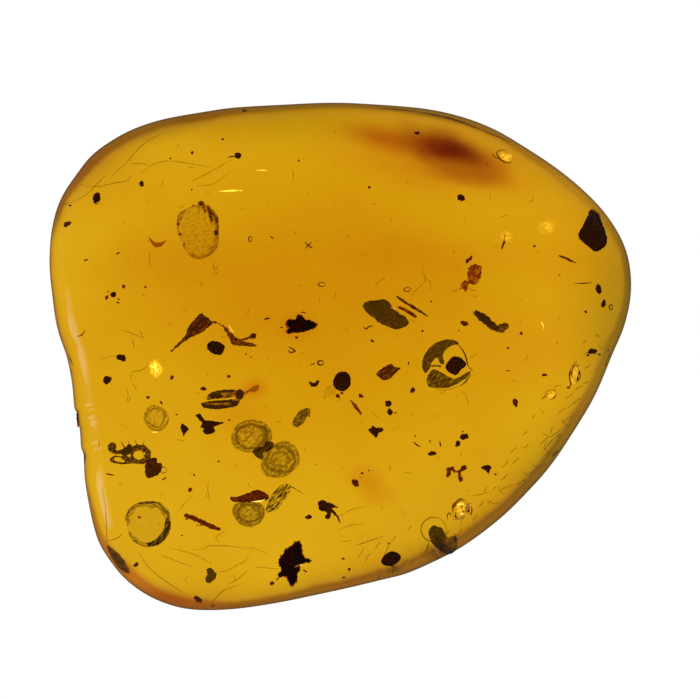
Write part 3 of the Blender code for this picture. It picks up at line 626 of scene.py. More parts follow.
def sealedFinish(name):
    if name in finishes:
        return finishes[name]
    core, flesh, edge, through, gloss, grain, relief, speckled = sealed[name]
    made, tree, shader = newFinish(name)
    place = node(tree, "TexCoord").outputs["Object"]
    speckle = node(tree, "TexNoise", Scale=float(grain), Detail=5.0, Roughness=0.65)
    sway = node(tree, "MapRange", From_Min=0.3, From_Max=0.7, To_Min=-speckled, To_Max=speckled)
    total = node(tree, "Math", operation="ADD")
    ramp = node(tree, "ValToRGB")
    ends = ramp.color_ramp.elements
    ends[0].position, ends[0].color = toneStops[0], (*core, 1)
    ends[1].position, ends[1].color = toneStops[2], (*edge, 1)
    ends.new(toneStops[1]).color = (*flesh, 1)
    fine = node(tree, "TexNoise", Scale=grain * 2.6, Detail=4.0)
    bump = node(tree, "Bump", Strength=relief, Distance=reliefDepth)
    wire(tree, place, speckle.inputs["Vector"])
    wire(tree, speckle.outputs["Fac"], sway.inputs["Value"])
    wire(tree, node(tree, "Attribute", attribute_name="thin").outputs["Fac"], total.inputs[0])
    wire(tree, sway.outputs[0], total.inputs[1])
    wire(tree, total.outputs[0], ramp.inputs[0])
    wire(tree, ramp.outputs[0], shader.inputs["Base Color"])
    wire(tree, place, fine.inputs["Vector"])
    wire(tree, fine.outputs["Fac"], bump.inputs["Height"])
    wire(tree, bump.outputs[0], shader.inputs["Normal"])
    shader.inputs["Transmission Weight"].default_value = through
    shader.inputs["IOR"].default_value = sealedIor
    shader.inputs["Roughness"].default_value = gloss
    finishes[name] = made
    return made


paintedFlashes = {"painted_glint": ((1, 0.78, 0.36), 0.8), "glow": ((1, 0.70, 0.10), 0.6)}   # painted highlights and glows: colour and strength


def paintedFlashFinish(name):  # painted highlights and glows: the surface emits light where cracks and bubbles would catch it
    if name in finishes:
        return finishes[name]
    colour, strength = paintedFlashes[name]
    made, tree, shader = newFinish(name)
    flicker = node(tree, "TexNoise", Scale=7000.0, Detail=3.0)
    power = node(tree, "MapRange", From_Min=0.35, From_Max=0.6, To_Min=strength * 0.3,
                 To_Max=strength)
    wire(tree, node(tree, "TexCoord").outputs["Object"], flicker.inputs["Vector"])
    wire(tree, flicker.outputs["Fac"], power.inputs["Value"])
    fade = node(tree, "Math", operation="MULTIPLY")
    wire(tree, power.outputs[0], fade.inputs[0])
    wire(tree, node(tree, "Attribute", attribute_name="thin").outputs["Fac"], fade.inputs[1])
    wire(tree, fade.outputs[0], shader.inputs["Emission Strength"])
    shader.inputs["Base Color"].default_value = grey(1.0)
    shader.inputs["Emission Color"].default_value = (*colour, 1)
    shader.inputs["Transmission Weight"].default_value = 1.0
    shader.inputs["Roughness"].default_value = 0.0
    shader.inputs["IOR"].default_value = 1.0
    finishes[name] = made
    return made


def finishNamed(name):
    return paintedFlashFinish(name) if name in paintedFlashes else sealedFinish(name)


# Everything sealed in is shaped in squares, around its own middle
def addBall(bm, middle, at, size, turn=0.0, level=0.0):
    place = Matrix.LocRotScale(Vector((at[0] - middle[0], middle[1] - at[1], level)),
                               Matrix.Rotation(radians(turn), 3, "Z"), Vector(size) / 2)
    bmesh.ops.create_icosphere(bm, subdivisions=3, radius=1.0, matrix=place)


def addRod(bm, middle, points, level=0.0, sides=12):  # each point is u, v and radius
    line = [(Vector((u - middle[0], middle[1] - v, level)), radius) for u, v, radius in points]
    for (a, thick), (b, thin) in zip(line, line[1:]):
        along = (b - a).to_track_quat("Z", "Y").to_matrix().to_4x4()
        bmesh.ops.create_cone(bm, cap_ends=True, segments=sides, radius1=thick, radius2=thin,
                              depth=(b - a).length, matrix=Matrix.Translation((a + b) / 2) @ along)
    for point, radius in line:
        bmesh.ops.create_icosphere(bm, subdivisions=2, radius=radius,
                                   matrix=Matrix.Translation(point))


def addRing(bm, middle, at, across, thick, level=0.0, count=24):
    reach = ((across[0] - thick) / 2, (across[1] - thick) / 2)
    loop = []
    for k in range(count + 1):
        angle = tau * k / count
        loop.append((at[0] + reach[0] * cos(angle), at[1] + reach[1] * sin(angle), thick / 2))
    addRod(bm, middle, loop, level)


def addSlab(bm, middle, outline, thick, level=0.0):
    loop = smoothLoop([(u - middle[0], middle[1] - v) for u, v in outline], len(outline) * 4)
    low = [bm.verts.new((x, y, level - thick / 2)) for x, y in loop]
    high = [bm.verts.new((x, y, level + thick / 2)) for x, y in loop]
    bottom, top = bm.faces.new(low[::-1]), bm.faces.new(high)
    for k in range(len(loop)):
        after = (k + 1) % len(loop)
        bm.faces.new((low[k], low[after], high[after], high[k]))
    bmesh.ops.triangulate(bm, faces=[bottom, top])


builders = {"ball": addBall, "rod": addRod, "ring": addRing, "slab": addSlab}


def streaks(turn, low, high, stretch=5.0, size=2.2):  # tone of a film with streaks one way
    c, s = cos(radians(turn)), sin(radians(turn))

    def tone(x, y):
        along, across = x * c + y * s, y * c - x * s
        value = noise.fractal(Vector((along / size / stretch, across / size, turn)), 0.8, 2.0, 3)
        return low + (high - low) * min(1.0, max(0.0, 0.5 + value))

    return tone


def spots(tone, places):  # a tone with rounder darker or lighter spots: x, y, reach and value
    def spotted(x, y):
        value = tone(x, y)
        for u, v, reach, other in places:
            near = exp(-((x - u) ** 2 + (y - v) ** 2) / reach ** 2)
            value += (other - value) * min(1.0, near * 1.6)
        return value

    return spotted


def fading(reach):  # brightest in the middle
    return lambda x, y: max(0.0, 1.0 - hypot(x, y) / reach) ** 0.8


def barred(reach, turn, strength=1.0):  # fading outwards, in streaks
    middle, bars = fading(reach), streaks(turn, 0.1, 1.5, 4, 1.5)
    return lambda x, y: strength * middle(x, y) * bars(x, y)


# A mottled film with a darker rim and wavy coils, painted shade for a wrinkled crack that bends the
# light away: how far out, width and tone of each coil
def ringed(reach, inside, edge, share=0.3, contrast=0.5, turn=30.0, coils=()):
    mottle = streaks(turn, -contrast, contrast, 2.6, 1.9)

    def tone(x, y):
        out = hypot(x / reach[0], y / reach[1]) + 0.16 * noise.noise(Vector((x, y, turn)) * 0.13)
        near = min(1.0, max(0.0, (out - 1 + share) / share * 1.6))
        value = inside + (edge - inside) * near + mottle(x, y)
        for at, width, other in coils:
            value += (other - value) * exp(-((out - at) / width) ** 2)
        return value

    return tone


def tonesOf(bm, tone):  # from how thin the thing is, seen through from above, or from its film
    tree = BVHTree.FromBMesh(bm)
    values = []
    for vert in bm.verts:
        way = Vector((0, 0, -1 if vert.normal.z > 0 else 1))
        hit = tree.ray_cast(vert.co + way * 0.1, way)
        depth = hit[3] if hit[0] is not None else 0.0
        if tone and depth < veilDepth:
            values.append(tone(vert.co.x, vert.co.y))
        else:
            values.append(exp(-depth / thinAt))
    return values


# One solid grown from its shapes. It stands for the solid of the same name unless stands is off,
# and is moved for the lens of the shoulder unless inside is off, as for the bits in the chips.
def grow(name, middle, finish, shapes, voxel=0.5, rough=0.9, lift=0.0, turn=0.0, tone=None,
         stands=True, inside=True):
    bm = bmesh.new()
    for kind, *values in shapes:
        builders[kind](bm, middle, *values)
    rawMesh = bpy.data.meshes.new(name + "_raw")
    bm.to_mesh(rawMesh)
    bm.free()
    raw = bpy.data.objects.new(name + "_raw", rawMesh)
    scene.collection.objects.link(raw)
    skin = raw.modifiers.new("skin", "REMESH")
    skin.mode = "VOXEL"
    skin.voxel_size = voxel
    soft = raw.modifiers.new("soft", "SMOOTH")
    soft.iterations = 2
    bpy.context.view_layer.update()
    depsgraph = bpy.context.evaluated_depsgraph_get()
    grown = bpy.data.meshes.new_from_object(raw.evaluated_get(depsgraph))
    bpy.data.objects.remove(raw, do_unlink=True)
    bm = bmesh.new()
    bm.from_mesh(grown)
    bm.normal_update()
    x, y = spot(*middle)
    seed = Vector((x * 5, y * 5, 3.7))
    for vert in bm.verts:
        ragged = noise.fractal(vert.co * 0.24 + seed, 0.6, 2.2, 4)
        ragged += 0.5 * noise.noise(vert.co * 0.8 - seed)
        vert.co += vert.normal * ragged * rough
    bm.normal_update()
    values = tonesOf(bm, tone)
    step = 0.1   # millimetres to each side, for the slope of the flow
    lean = Vector((flowHeight(x - step, y) - flowHeight(x + step, y),
                   flowHeight(x, y - step) - flowHeight(x, y + step), 2 * step))
    upright = Vector((0, 0, 1))
    tilt = upright.rotation_difference(lean).to_matrix() @ Matrix.Rotation(radians(turn), 3, "Z")
    home = Vector((x, y, flowHeight(x, y) + lift))
    for vert in bm.verts:
        place = home + tilt @ vert.co * grid["square"]
        vert.co = ((throughLens(place) if inside else place) - home) * mm
    mesh = bpy.data.meshes.new(name)
    bm.to_mesh(mesh)
    bm.free()
    bpy.data.meshes.remove(grown)
    mesh.attributes.new("thin", "FLOAT", "POINT").data.foreach_set("value", values)
    mesh.shade_smooth()
    mesh.materials.append(finishNamed(finish))
    piece = bpy.data.objects.new(name, mesh)
    piece.location = home * mm
    scene.collection.objects.link(piece)
    solid = name.removesuffix("_fine")
    if stands:
        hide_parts(solid)
    slotOfSolid.get(solid, slotOf[finish])
    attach(piece, "root")


# The insects: middle on the grid, finish, roughness, tone of the thin parts, and shapes
insects = {
    "beetle": ((221, 398), "shellBrown", 0.6, spots(streaks(4, 0.45, 1.15, 8, 1.0), (
        *((x, -9.4, 2.2, -0.1) for x in range(-15, 12, 3)),
        *((x, 8.6, 2.0, 0.2) for x in range(-8, 16, 3)),
        *((x, -2.6, 1.4, 0.0) for x in range(-13, 12, 3)), (-18, -6, 2.4, 0.0),
        (-7, 3, 2.6, -0.1), (-1, 2.6, 2.4, -0.1), (8, 1, 2, 0.2), (30, 9, 10, 0.88))), (
        ("slab", ((203, 404.5), (206, 402), (214, 400.9), (226, 399.8), (236, 398.4), (241, 400),
                  (237, 404.5), (228, 407.5), (214, 408.2), (206, 407.4)), 2.0, -0.6),
        ("rod", ((203.4, 403.6, 1.1), (206, 406.4, 1.2), (214, 407.6, 1.3), (222, 407.4, 1.4),
                 (232, 405.4, 1.7)), -0.6),
        ("rod", ((203.6, 403.6, 0.9), (208, 401.6, 0.6), (216, 400.8, 0.5), (228, 399.8, 0.5))),
        ("slab", ((208, 397), (211, 393), (218, 390.3), (228, 389.2), (236, 389.8), (238, 394.6),
                  (232, 396.8), (217, 398.4), (208.6, 399.4)), 1.6, 0.4),
        ("rod", ((208.4, 397, 0.7), (213, 392, 0.6), (226, 389.6, 0.6), (236, 390, 0.9)), 0.6),
        ("rod", ((214, 395.4, 1.0), (218, 394.2, 1.9), (223, 393, 1.1)), 1.0),
        ("rod", ((225, 395.8, 0.8), (231, 395.4, 0.8), (237, 393.6, 0.9)), 0.4),
        ("ball", (240.5, 393.8), (9, 10.4, 8)),
        ("ball", (235.5, 403.2), (10, 6.4, 7), 25),
        ("rod", ((244, 394, 1.5), (248, 391.4, 1.2), (253, 388.6, 1.3), (257, 385.8, 1.5))),
        ("rod", ((250, 389.6, 1.2), (254, 390.6, 1.3), (258, 388.6, 1.5), (258.6, 385.6, 1.4))),
    )),
    "midge": ((130, 453), "shellBrown", 0.5, streaks(10, -0.35, 1.05, 1.2, 1.1), (
        ("ring", (114, 446.5), (9, 10), 1.9),
        ("rod", ((111.8, 448, 1.1), (115, 451, 1.6), (120, 451.8, 1.9), (125, 451, 2.6))),
        ("ball", (128.5, 450), (13, 8, 9), 30),
        ("ball", (131, 447), (6, 7, 7)),
        ("rod", ((113, 458.4, 1.1), (117, 455.6, 0.9), (124, 455.8, 0.8), (131, 458, 0.8))),
        ("rod", ((113, 458.8, 1.5), (117, 461.4, 1.3), (123, 462.4, 1.0), (131, 461, 0.8))),
        ("ring", (141.2, 454), (17.4, 16.2), 1.5),
        ("ring", (140.8, 454), (14.4, 13.2), 1.1),
        ("rod", ((148.6, 448.6, 1.2), (145, 450.6, 0.7))),
        ("rod", ((150, 456, 1.2), (146.6, 455, 0.6))),
        ("rod", ((114, 461, 0.8), (122, 462.4, 0.8), (134, 462.2, 0.6), (146, 462.6, 0.5))),
        ("rod", ((124, 457.6, 1.1), (130, 460, 1.4), (136, 461.5, 1.3), (146, 462.2, 0.8))),
        ("rod", ((127, 455.4, 1.0), (132, 457.6, 1.2), (137, 459.8, 0.9))),
        ("slab", ((111.6, 444), (114.4, 442.4), (116.6, 445), (116, 449.6), (113, 450),
                  (111, 447)), 1.2),
        ("ring", (141.8, 453.8), (19.5, 18), 1.5),
        ("rod", ((133, 447.6, 1.0), (139, 444.8, 1.4), (146, 446, 1.5), (150.6, 450.4, 1.7),
                 (150.8, 457, 1.5), (147, 461, 1.0))),
        ("ring", (140.4, 454.2), (11.5, 10.5), 0.9, 0.4),
        ("rod", ((126, 446, 0.7), (123, 441, 0.4))),
        ("rod", ((130, 445, 0.7), (131, 440, 0.4))),
        ("rod", ((139, 445, 0.5), (136.5, 438.5, 0.4))),
        ("rod", ((144, 445, 0.5), (146, 440, 0.4))),
    )),
    "gnat": ((470, 278), "gnatRed", 1.1, streaks(60, 0.30, 1.10, 1.6, 2.0), (
        ("slab", ((468, 270), (470, 266.5), (475, 265.5), (480, 267), (480, 273), (478, 279),
                  (475, 284), (471, 284), (467, 281), (467, 275)), 3.0),
        ("rod", ((479, 267.5, 0.9), (480, 274, 0.9), (477, 281, 1.2), (472, 284, 1.2))),
        ("rod", ((468, 269, 0.9), (467.5, 276, 0.8), (468, 282, 1.4))),
        ("slab", ((460, 285), (463, 281.5), (468, 281.5), (467, 286), (466, 291), (463.5, 291.5),
                  (461, 288)), 2.8),
        ("rod", ((461, 288, 0.7), (456, 290.8, 0.45), (449, 292.4, 0.35))),
        ("rod", ((466, 287, 0.6), (470, 290.5, 0.4), (476, 291, 0.3))),
    )),
    "larva": ((488.5, 321.5), "shellBrown", 1.1, streaks(20, 0.25, 0.85, 2, 1.8), (
        ("rod", ((476, 313.6, 3.2), (480, 317, 3.9), (485, 320.6, 3.8), (489, 324, 3.8),
                 (493, 327.4, 3.5), (497, 329.6, 2.6))),
        ("slab", ((494, 328), (499, 325), (504, 322.5), (507, 325), (506, 328.5), (502, 332),
                  (497, 332)), 2.4),
        ("rod", ((497, 331.8, 0.9), (502, 331.6, 0.9), (506, 328, 0.9), (507, 325, 0.8))),
    )),
    "scale_insect": ((198, 232), "shedShell", 0.5, ringed((20.5, 27), 0.93, 0.70, 0.14, 0.10), (
        ("slab", ((178, 222), (180, 215), (187, 210), (196, 207), (207, 205.5), (212, 209),
                  (217, 216), (219, 226), (220, 234), (218.5, 245), (215, 253), (208, 258),
                  (199, 260), (191, 256.5), (186, 249), (182.5, 240), (179, 231)), 1.6),
        ("ball", (202, 204.6), (6.4, 5.6, 6)),
        ("rod", ((195, 207, 1.5), (194, 213, 1.3), (191.6, 219, 0.7))),
        ("rod", ((209, 208, 2.2), (211.6, 215, 2.9), (212.6, 222, 2.2), (211.4, 227, 0.9))),
        ("rod", ((214, 212, 1.6), (217.4, 220, 2.4), (218.4, 229, 1.9))),
        ("ball", (217.4, 233.5), (5, 8, 6)),
        ("rod", ((200, 207.5, 1.5), (200.5, 213, 1.7), (197.6, 221, 0.9))),
        ("rod", ((205, 208, 2.2), (206.4, 215, 1.8), (205, 223, 0.9))),
        ("ball", (179.8, 225), (4, 4, 5)),
        ("ball", (181.8, 235.4), (4.6, 3.6, 5)),
        ("ball", (185.4, 245.4), (3.4, 4, 4)),
        ("rod", ((180, 222.5, 0.5), (187, 219.5, 0.5), (192, 222, 0.6), (198, 224, 0.5),
                 (206, 223, 0.5)), 0.8),
        ("rod", ((218.6, 238, 1.2), (218, 246, 1.3), (214.5, 252.6, 1.1), (207, 258, 0.8),
                 (199, 259.6, 0.6), (190.5, 256, 0.5), (185.5, 248, 0.6), (182, 239, 0.6),
                 (178.5, 229, 0.6))),
    )),
}

# Bits of plants, shaped the same way
plants = {
    "bract": ((198, 330), "barkBrown", 0.8, streaks(47, 0.3, 0.9, 4, 1.6), (
        ("slab", ((172, 351.4), (178, 345), (183, 339.6), (188, 334.6), (191, 337.6), (186, 341.6),
                  (180, 346), (174, 350.8)), 1.8),
        ("rod", ((172.5, 351, 0.5), (180, 343.4, 0.7), (188, 335.6, 0.9))),
        ("slab", ((188, 334), (191, 327), (196, 320.5), (200, 316.5), (204, 315), (212, 321),
                  (214, 323.5), (208, 328), (201, 333), (194, 337), (190, 337)), 3.0),
        ("rod", ((189, 331, 1.4), (195, 322.5, 1.4), (200, 317, 1.5), (203.5, 313.4, 0.7))),
        ("rod", ((192, 336, 1.3), (201, 332, 1.5), (208, 327, 1.5), (213, 323, 0.9))),
        ("rod", ((192, 332, 1.5), (199, 325, 1.7), (206, 318.5, 1.4)), 1.0),
    )),
    "wing_shred": ((238, 335), "barkBrown", 1.0, streaks(-40, 0.45, 1.1, 2, 1.8), (
        ("rod", ((213, 322, 0.6), (218, 323, 0.9), (222, 325, 0.7), (227, 328.5, 1.2))),
        ("slab", ((224, 328), (228, 328.5), (232, 333), (236, 336), (240, 340), (247, 342),
                  (257, 345), (252, 347), (243, 345.5), (234, 345), (231, 340), (227, 333)), 2.0),
        ("rod", ((228, 331, 1.0), (233, 338, 1.6), (238, 342, 1.5))),
        ("rod", ((240, 341, 1.2), (246, 339, 1.2), (250, 337.5, 1.4), (254, 336.5, 2.8))),
    )),
    "root_knot": ((326, 508), "charred", 1.2, None, (
        ("ball", (323, 504.6), (9, 12, 8), 10),
        ("rod", ((326, 505, 2.4), (331, 503.6, 2.0), (337, 506, 1.0))),
        ("rod", ((326, 508, 2.4), (329, 511, 1.9), (327.6, 515.6, 2.2))),
        ("rod", ((329, 506, 1.4), (334, 511, 1.1), (337, 515, 1.1), (340, 520.5, 0.6))),
    )),
    "lace_cluster": ((456, 472), "rustRed", 1.3, None, (
        ("rod", ((447, 475, 1.6), (448, 469, 2.2), (452, 467, 1.6), (454, 471, 1.3),
                 (459, 470, 1.6), (463, 467, 2.6))),
        ("rod", ((459, 470, 1.3), (458, 475, 1.3), (460, 478, 2.4))),
    )),
    "green_lump": ((385.5, 314), "olive", 1.0, None, (
        ("slab", ((363, 307), (366, 303), (372, 301), (378, 301), (382, 299.5), (386, 301),
                  (390, 304), (392, 309), (397, 312), (400, 315), (405, 317), (408, 322),
                  (406, 326), (401, 328.5), (394, 329), (386, 326), (380, 323), (374, 318),
                  (367, 313)), 5.0),
    )),
    "olive_flake": ((301.5, 417), "olive", 0.7, streaks(52, 0.35, 1.0, 4, 1.5), (
        ("slab", ((293, 424), (295, 418), (299, 412), (304, 408.5), (308, 408), (308.5, 413),
                  (306, 419), (302, 424), (297, 426.5)), 2.4),
        ("rod", ((310, 408.6, 1.0), (309.6, 415.6, 1.0))),
        ("rod", ((308, 408, 0.7), (310, 408.4, 0.8))),
    )),
    "spindle": ((121, 558), "olive", 0.5, streaks(-45, 0.15, 0.75, 3, 2.0), (
        ("slab", ((109.5, 545), (113, 546.5), (119, 552), (125, 559), (130, 567), (131, 571.5),
                  (126, 570.5), (120, 566), (115, 558.5), (111, 551)), 3.0),
        ("rod", ((110, 545.6, 0.8), (119, 552.6, 1.1), (126, 560.6, 1.1), (130.6, 570.6, 0.9),
                 (121, 566, 1.0), (114.6, 557, 1.0), (110.4, 547, 0.8))),
    )),
    "twig": ((204, 521), "rustRed", 0.9, None, (
        ("rod", ((187, 514.4, 1.7), (193.5, 516.4, 2.3), (201, 519.4, 2.1), (211.5, 524.5, 2.3),
                 (221, 528, 1.4))),
        ("rod", ((186.5, 518, 0.7), (190, 517, 0.9))),
        ("rod", ((198, 523.5, 0.5), (205, 523.5, 0.6))),
    )),
    "lozenge_flake": ((387, 371.5), "barkBrown", 0.7, streaks(35, 0.35, 0.9, 4, 1.6), (
        ("slab", ((376, 374), (379, 370), (386, 366), (391, 363.6), (394, 367), (400, 368),
                  (396, 372), (392, 376), (388, 379.4), (382, 380), (379, 377)), 2.6),
    )),
    "red_debris": ((251, 496), "rustRed", 1.4, streaks(20, 0.05, 0.8, 2.5, 1.8), (
        ("slab", ((232, 496.5), (238, 496), (246, 493.5), (251, 491), (258, 489), (265, 491),
                  (269, 496), (266, 499), (258, 499), (250, 501), (240, 500.4), (234, 499.5)), 3.0),
        ("rod", ((237, 499, 1.2), (248, 496.5, 1.9), (257, 493, 2.2), (266, 496, 1.4))),
    )),
}

# Crumbs and flakes: middle on the grid, thickness, finish, roughness and outline on the grid
crumbs = {
    "seed": ((592, 233), 14.5, "charred", 0.9, (
        (590, 212), (597, 216), (600, 225), (603, 231), (605, 238), (604, 245), (600, 249),
        (594, 252), (589, 249), (583, 244), (578, 239), (577, 234), (581, 228), (584, 222),
        (587, 217))),
    "bark_crumb": ((301, 326), 8.4, "charred", 1.5, (
        (289, 321), (297, 320), (299, 316), (303, 318), (306, 321), (311, 322), (316, 325),
        (313, 328), (308, 330), (298, 332), (289, 332), (291, 328), (288, 325))),
    "leaf_scrap": ((292, 562), 5.3, "charred", 1.5, (
        (299, 541), (302, 549), (303, 556), (310, 559), (302, 562), (298, 569), (296, 578),
        (291, 583), (288, 576), (284, 573), (280, 575), (282, 567), (280, 561), (282, 555),
        (286, 550), (291, 546), (295, 543))),
    "bark_flake": ((155, 467), 4.2, "barkBrown", 0.9, (
        (148, 460), (157, 457), (159, 462), (163, 463), (162, 471), (158, 474), (151, 477),
        (147, 473))),
    "square_grain": ((455, 366), 7.4, "charred", 0.7, (
        (445, 367.5), (451.5, 357.4), (459, 357.4), (464.5, 363), (464, 366), (459, 370),
        (454.5, 375))),
    "triangle_crumb": ((487, 468), 3.2, "charred", 0.7, (
        (480, 466), (484, 464.5), (488, 464.5), (490, 467), (488.5, 469), (487.5, 473),
        (485.5, 470), (481, 468))),
    "double_crumb": ((264, 449), 6.3, "peatGrey", 0.8, (
        (268, 440), (273, 441), (274, 445), (270, 449), (264, 452), (263, 458), (259, 457),
        (254, 452), (255, 449), (260, 446), (264, 446), (266, 443))),
    "splinter_crumb": ((209, 425), 4.7, "charred", 0.9, (
        (198, 415), (201, 414), (204, 418), (207, 420), (212, 420.5), (218, 421), (224.5, 422),
        (219, 424), (215, 427), (216, 430), (211, 433), (206, 433), (204, 430), (206, 428),
        (202, 426), (204, 422), (200, 419))),
    "notched_crumb": ((186, 429), 3.7, "charred", 0.7, (
        (183, 423), (185, 424), (188, 426), (190, 429), (187, 432), (185, 435), (184, 432),
        (182, 428))),
    "double_grain": ((212, 573), 4.5, "olive", 1.2, (
        (208, 568), (211, 566), (214, 568), (217, 572), (216, 576), (213, 579), (209, 580.5),
        (207, 577), (209, 573))),
    "three_point_crumb": ((376, 430.5), 3.7, "charred", 0.8, (
        (368, 429), (371, 428), (373, 425), (376, 427), (381, 427), (383, 430), (379, 432),
        (376, 437), (373, 434), (370, 432))),
    "barrel_pellet": ((217, 348), 10, "charred", 0.8, (
        (209, 347), (210, 343), (215, 341), (221, 343), (225, 346), (224.5, 351), (222, 354.5),
        (217, 354), (211, 351))),
    "oval_pellet": ((390.5, 557), 12, "charred", 0.5, (
        (381, 560), (383, 555), (387, 551.5), (393, 550), (399, 553), (400, 557), (396, 562),
        (390, 564), (384, 563.5))),
    "hexagonal_pellet": ((342, 381), 12, "charred", 0.7, (
        (334, 379), (337, 374), (343, 371.5), (348, 374), (350.5, 380), (349, 386), (344, 390.5),
        (337, 389), (334, 385))),
}

# Single grains: middle on the grid, length, width and turn
grains = (
    ((388, 403), 6.9, 5.3, -30), ((390, 411.5), 6.3, 5.0, 60), ((361, 395.5), 5.3, 4.0, -30),
    ((412, 390), 5.8, 4.5, 70), ((463, 436.5), 9.0, 5.3, 10), ((457, 443.5), 6.1, 4.7, 60),
    ((431, 452.5), 7.9, 3.7, 0), ((355.5, 482), 9.5, 6.1, -60), ((123, 357.5), 10.0, 6.1, -35),
    ((109, 379.5), 8.4, 7.7, -20), ((98.5, 199), 11.6, 6.9, 70), ((143.5, 185), 5.5, 4.0, 90),
    ((69.5, 224), 6.6, 4.5, 20), ((239, 157.5), 7.4, 5.5, 0), ((460, 198.5), 8.4, 6.1, -35),
    ((597, 289.5), 10.5, 5.3, -75), ((601.5, 304), 6.9, 4.5, 75), ((591, 351), 10.5, 5.3, 15),
    ((463.5, 323.5), 8.2, 4.5, -25), ((115, 295), 6.6, 5.8, 0), ((309, 516), 7.1, 4.5, 0),
)

redGrains = (3, 8, 19)   # numbers of the grains that are rusty and not black

# Thin rods: middle on the grid, finish, then each point on the grid and the radius there
rods = {
    "long_needle": ((411, 306.5), "barkBrown", (
        (396.5, 297, 0.7), (403.5, 302, 1.6), (415, 309, 1.7), (427, 316.5, 0.6))),
    "red_needle": ((407, 312), "rustRed", (
        (398, 307.5, 0.9), (405, 310.5, 1.6), (411, 314, 1.9), (415, 316.6, 1.6))),
    "crescent_crumb": ((314, 384), "charred", (
        (310.4, 382.4, 1.5), (312.5, 384.5, 1.8), (316, 384.5, 1.8), (318, 381.4, 1.5))),
    "short_splinter": ((356, 406.5), "rustRed", ((351, 400, 0.7), (355, 405.5, 1.8),
                                                 (361, 413, 1.0))),
    "red_splinter": ((502, 243), "rustRed", ((503.5, 236, 0.7), (503, 243, 1.1),
                                             (500.5, 250, 0.7))),
    "thin_splinter": ((565, 259.5), "barkBrown", ((557, 256, 0.6), (565, 259.4, 1.2),
                                                  (574, 263.5, 0.5))),
}


# Rusty ragged edges: name of the crumb, how much wider than it, and the tone's low and high
fringes = {"leaf_scrap": (1.09, 0.5, 1.0), "bark_crumb": (1.14, 0.6, 1.1)}


def makeSealed():
    for group in (insects, plants):
        for name, (middle, finish, rough, tone, shapes) in group.items():
            grow(name + "_fine", middle, finish, shapes, rough=rough, tone=tone)
    print("insects and bits of plants")
    for name, (middle, thick, finish, rough, outline) in crumbs.items():
        grow(name + "_fine", middle, finish, [("slab", outline, thick)], rough=rough)
        if name in fringes:
            wider, low, high = fringes[name]
            outer = [(u + (wider - 1) * (u - middle[0]), v + (wider - 1) * (v - middle[1]))
                     for u, v in outline]
            grow(name + "_fringe", middle, "rustRed", [("slab", outer, 1.2)], voxel=0.45, rough=1.7,
                 tone=streaks(20, low, high, 2, 1.6), stands=False)
    for number, (middle, length, width, turn) in enumerate(grains, start=1):
        shapes = [("ball", middle, (length, width, width * 0.8))]
        finish = "rustGrain" if number in redGrains else "charred"
        grow(f"grain_{number:02d}_fine", middle, finish, shapes, voxel=0.4, rough=1.3, turn=turn)
    for name, (middle, finish, points) in rods.items():
        grow(name + "_fine", middle, finish, [("rod", points)], voxel=0.4, rough=0.7,
             tone=streaks(-30, 0.35, 0.85, 3, 1.8))
    print("crumbs, grains and rods")


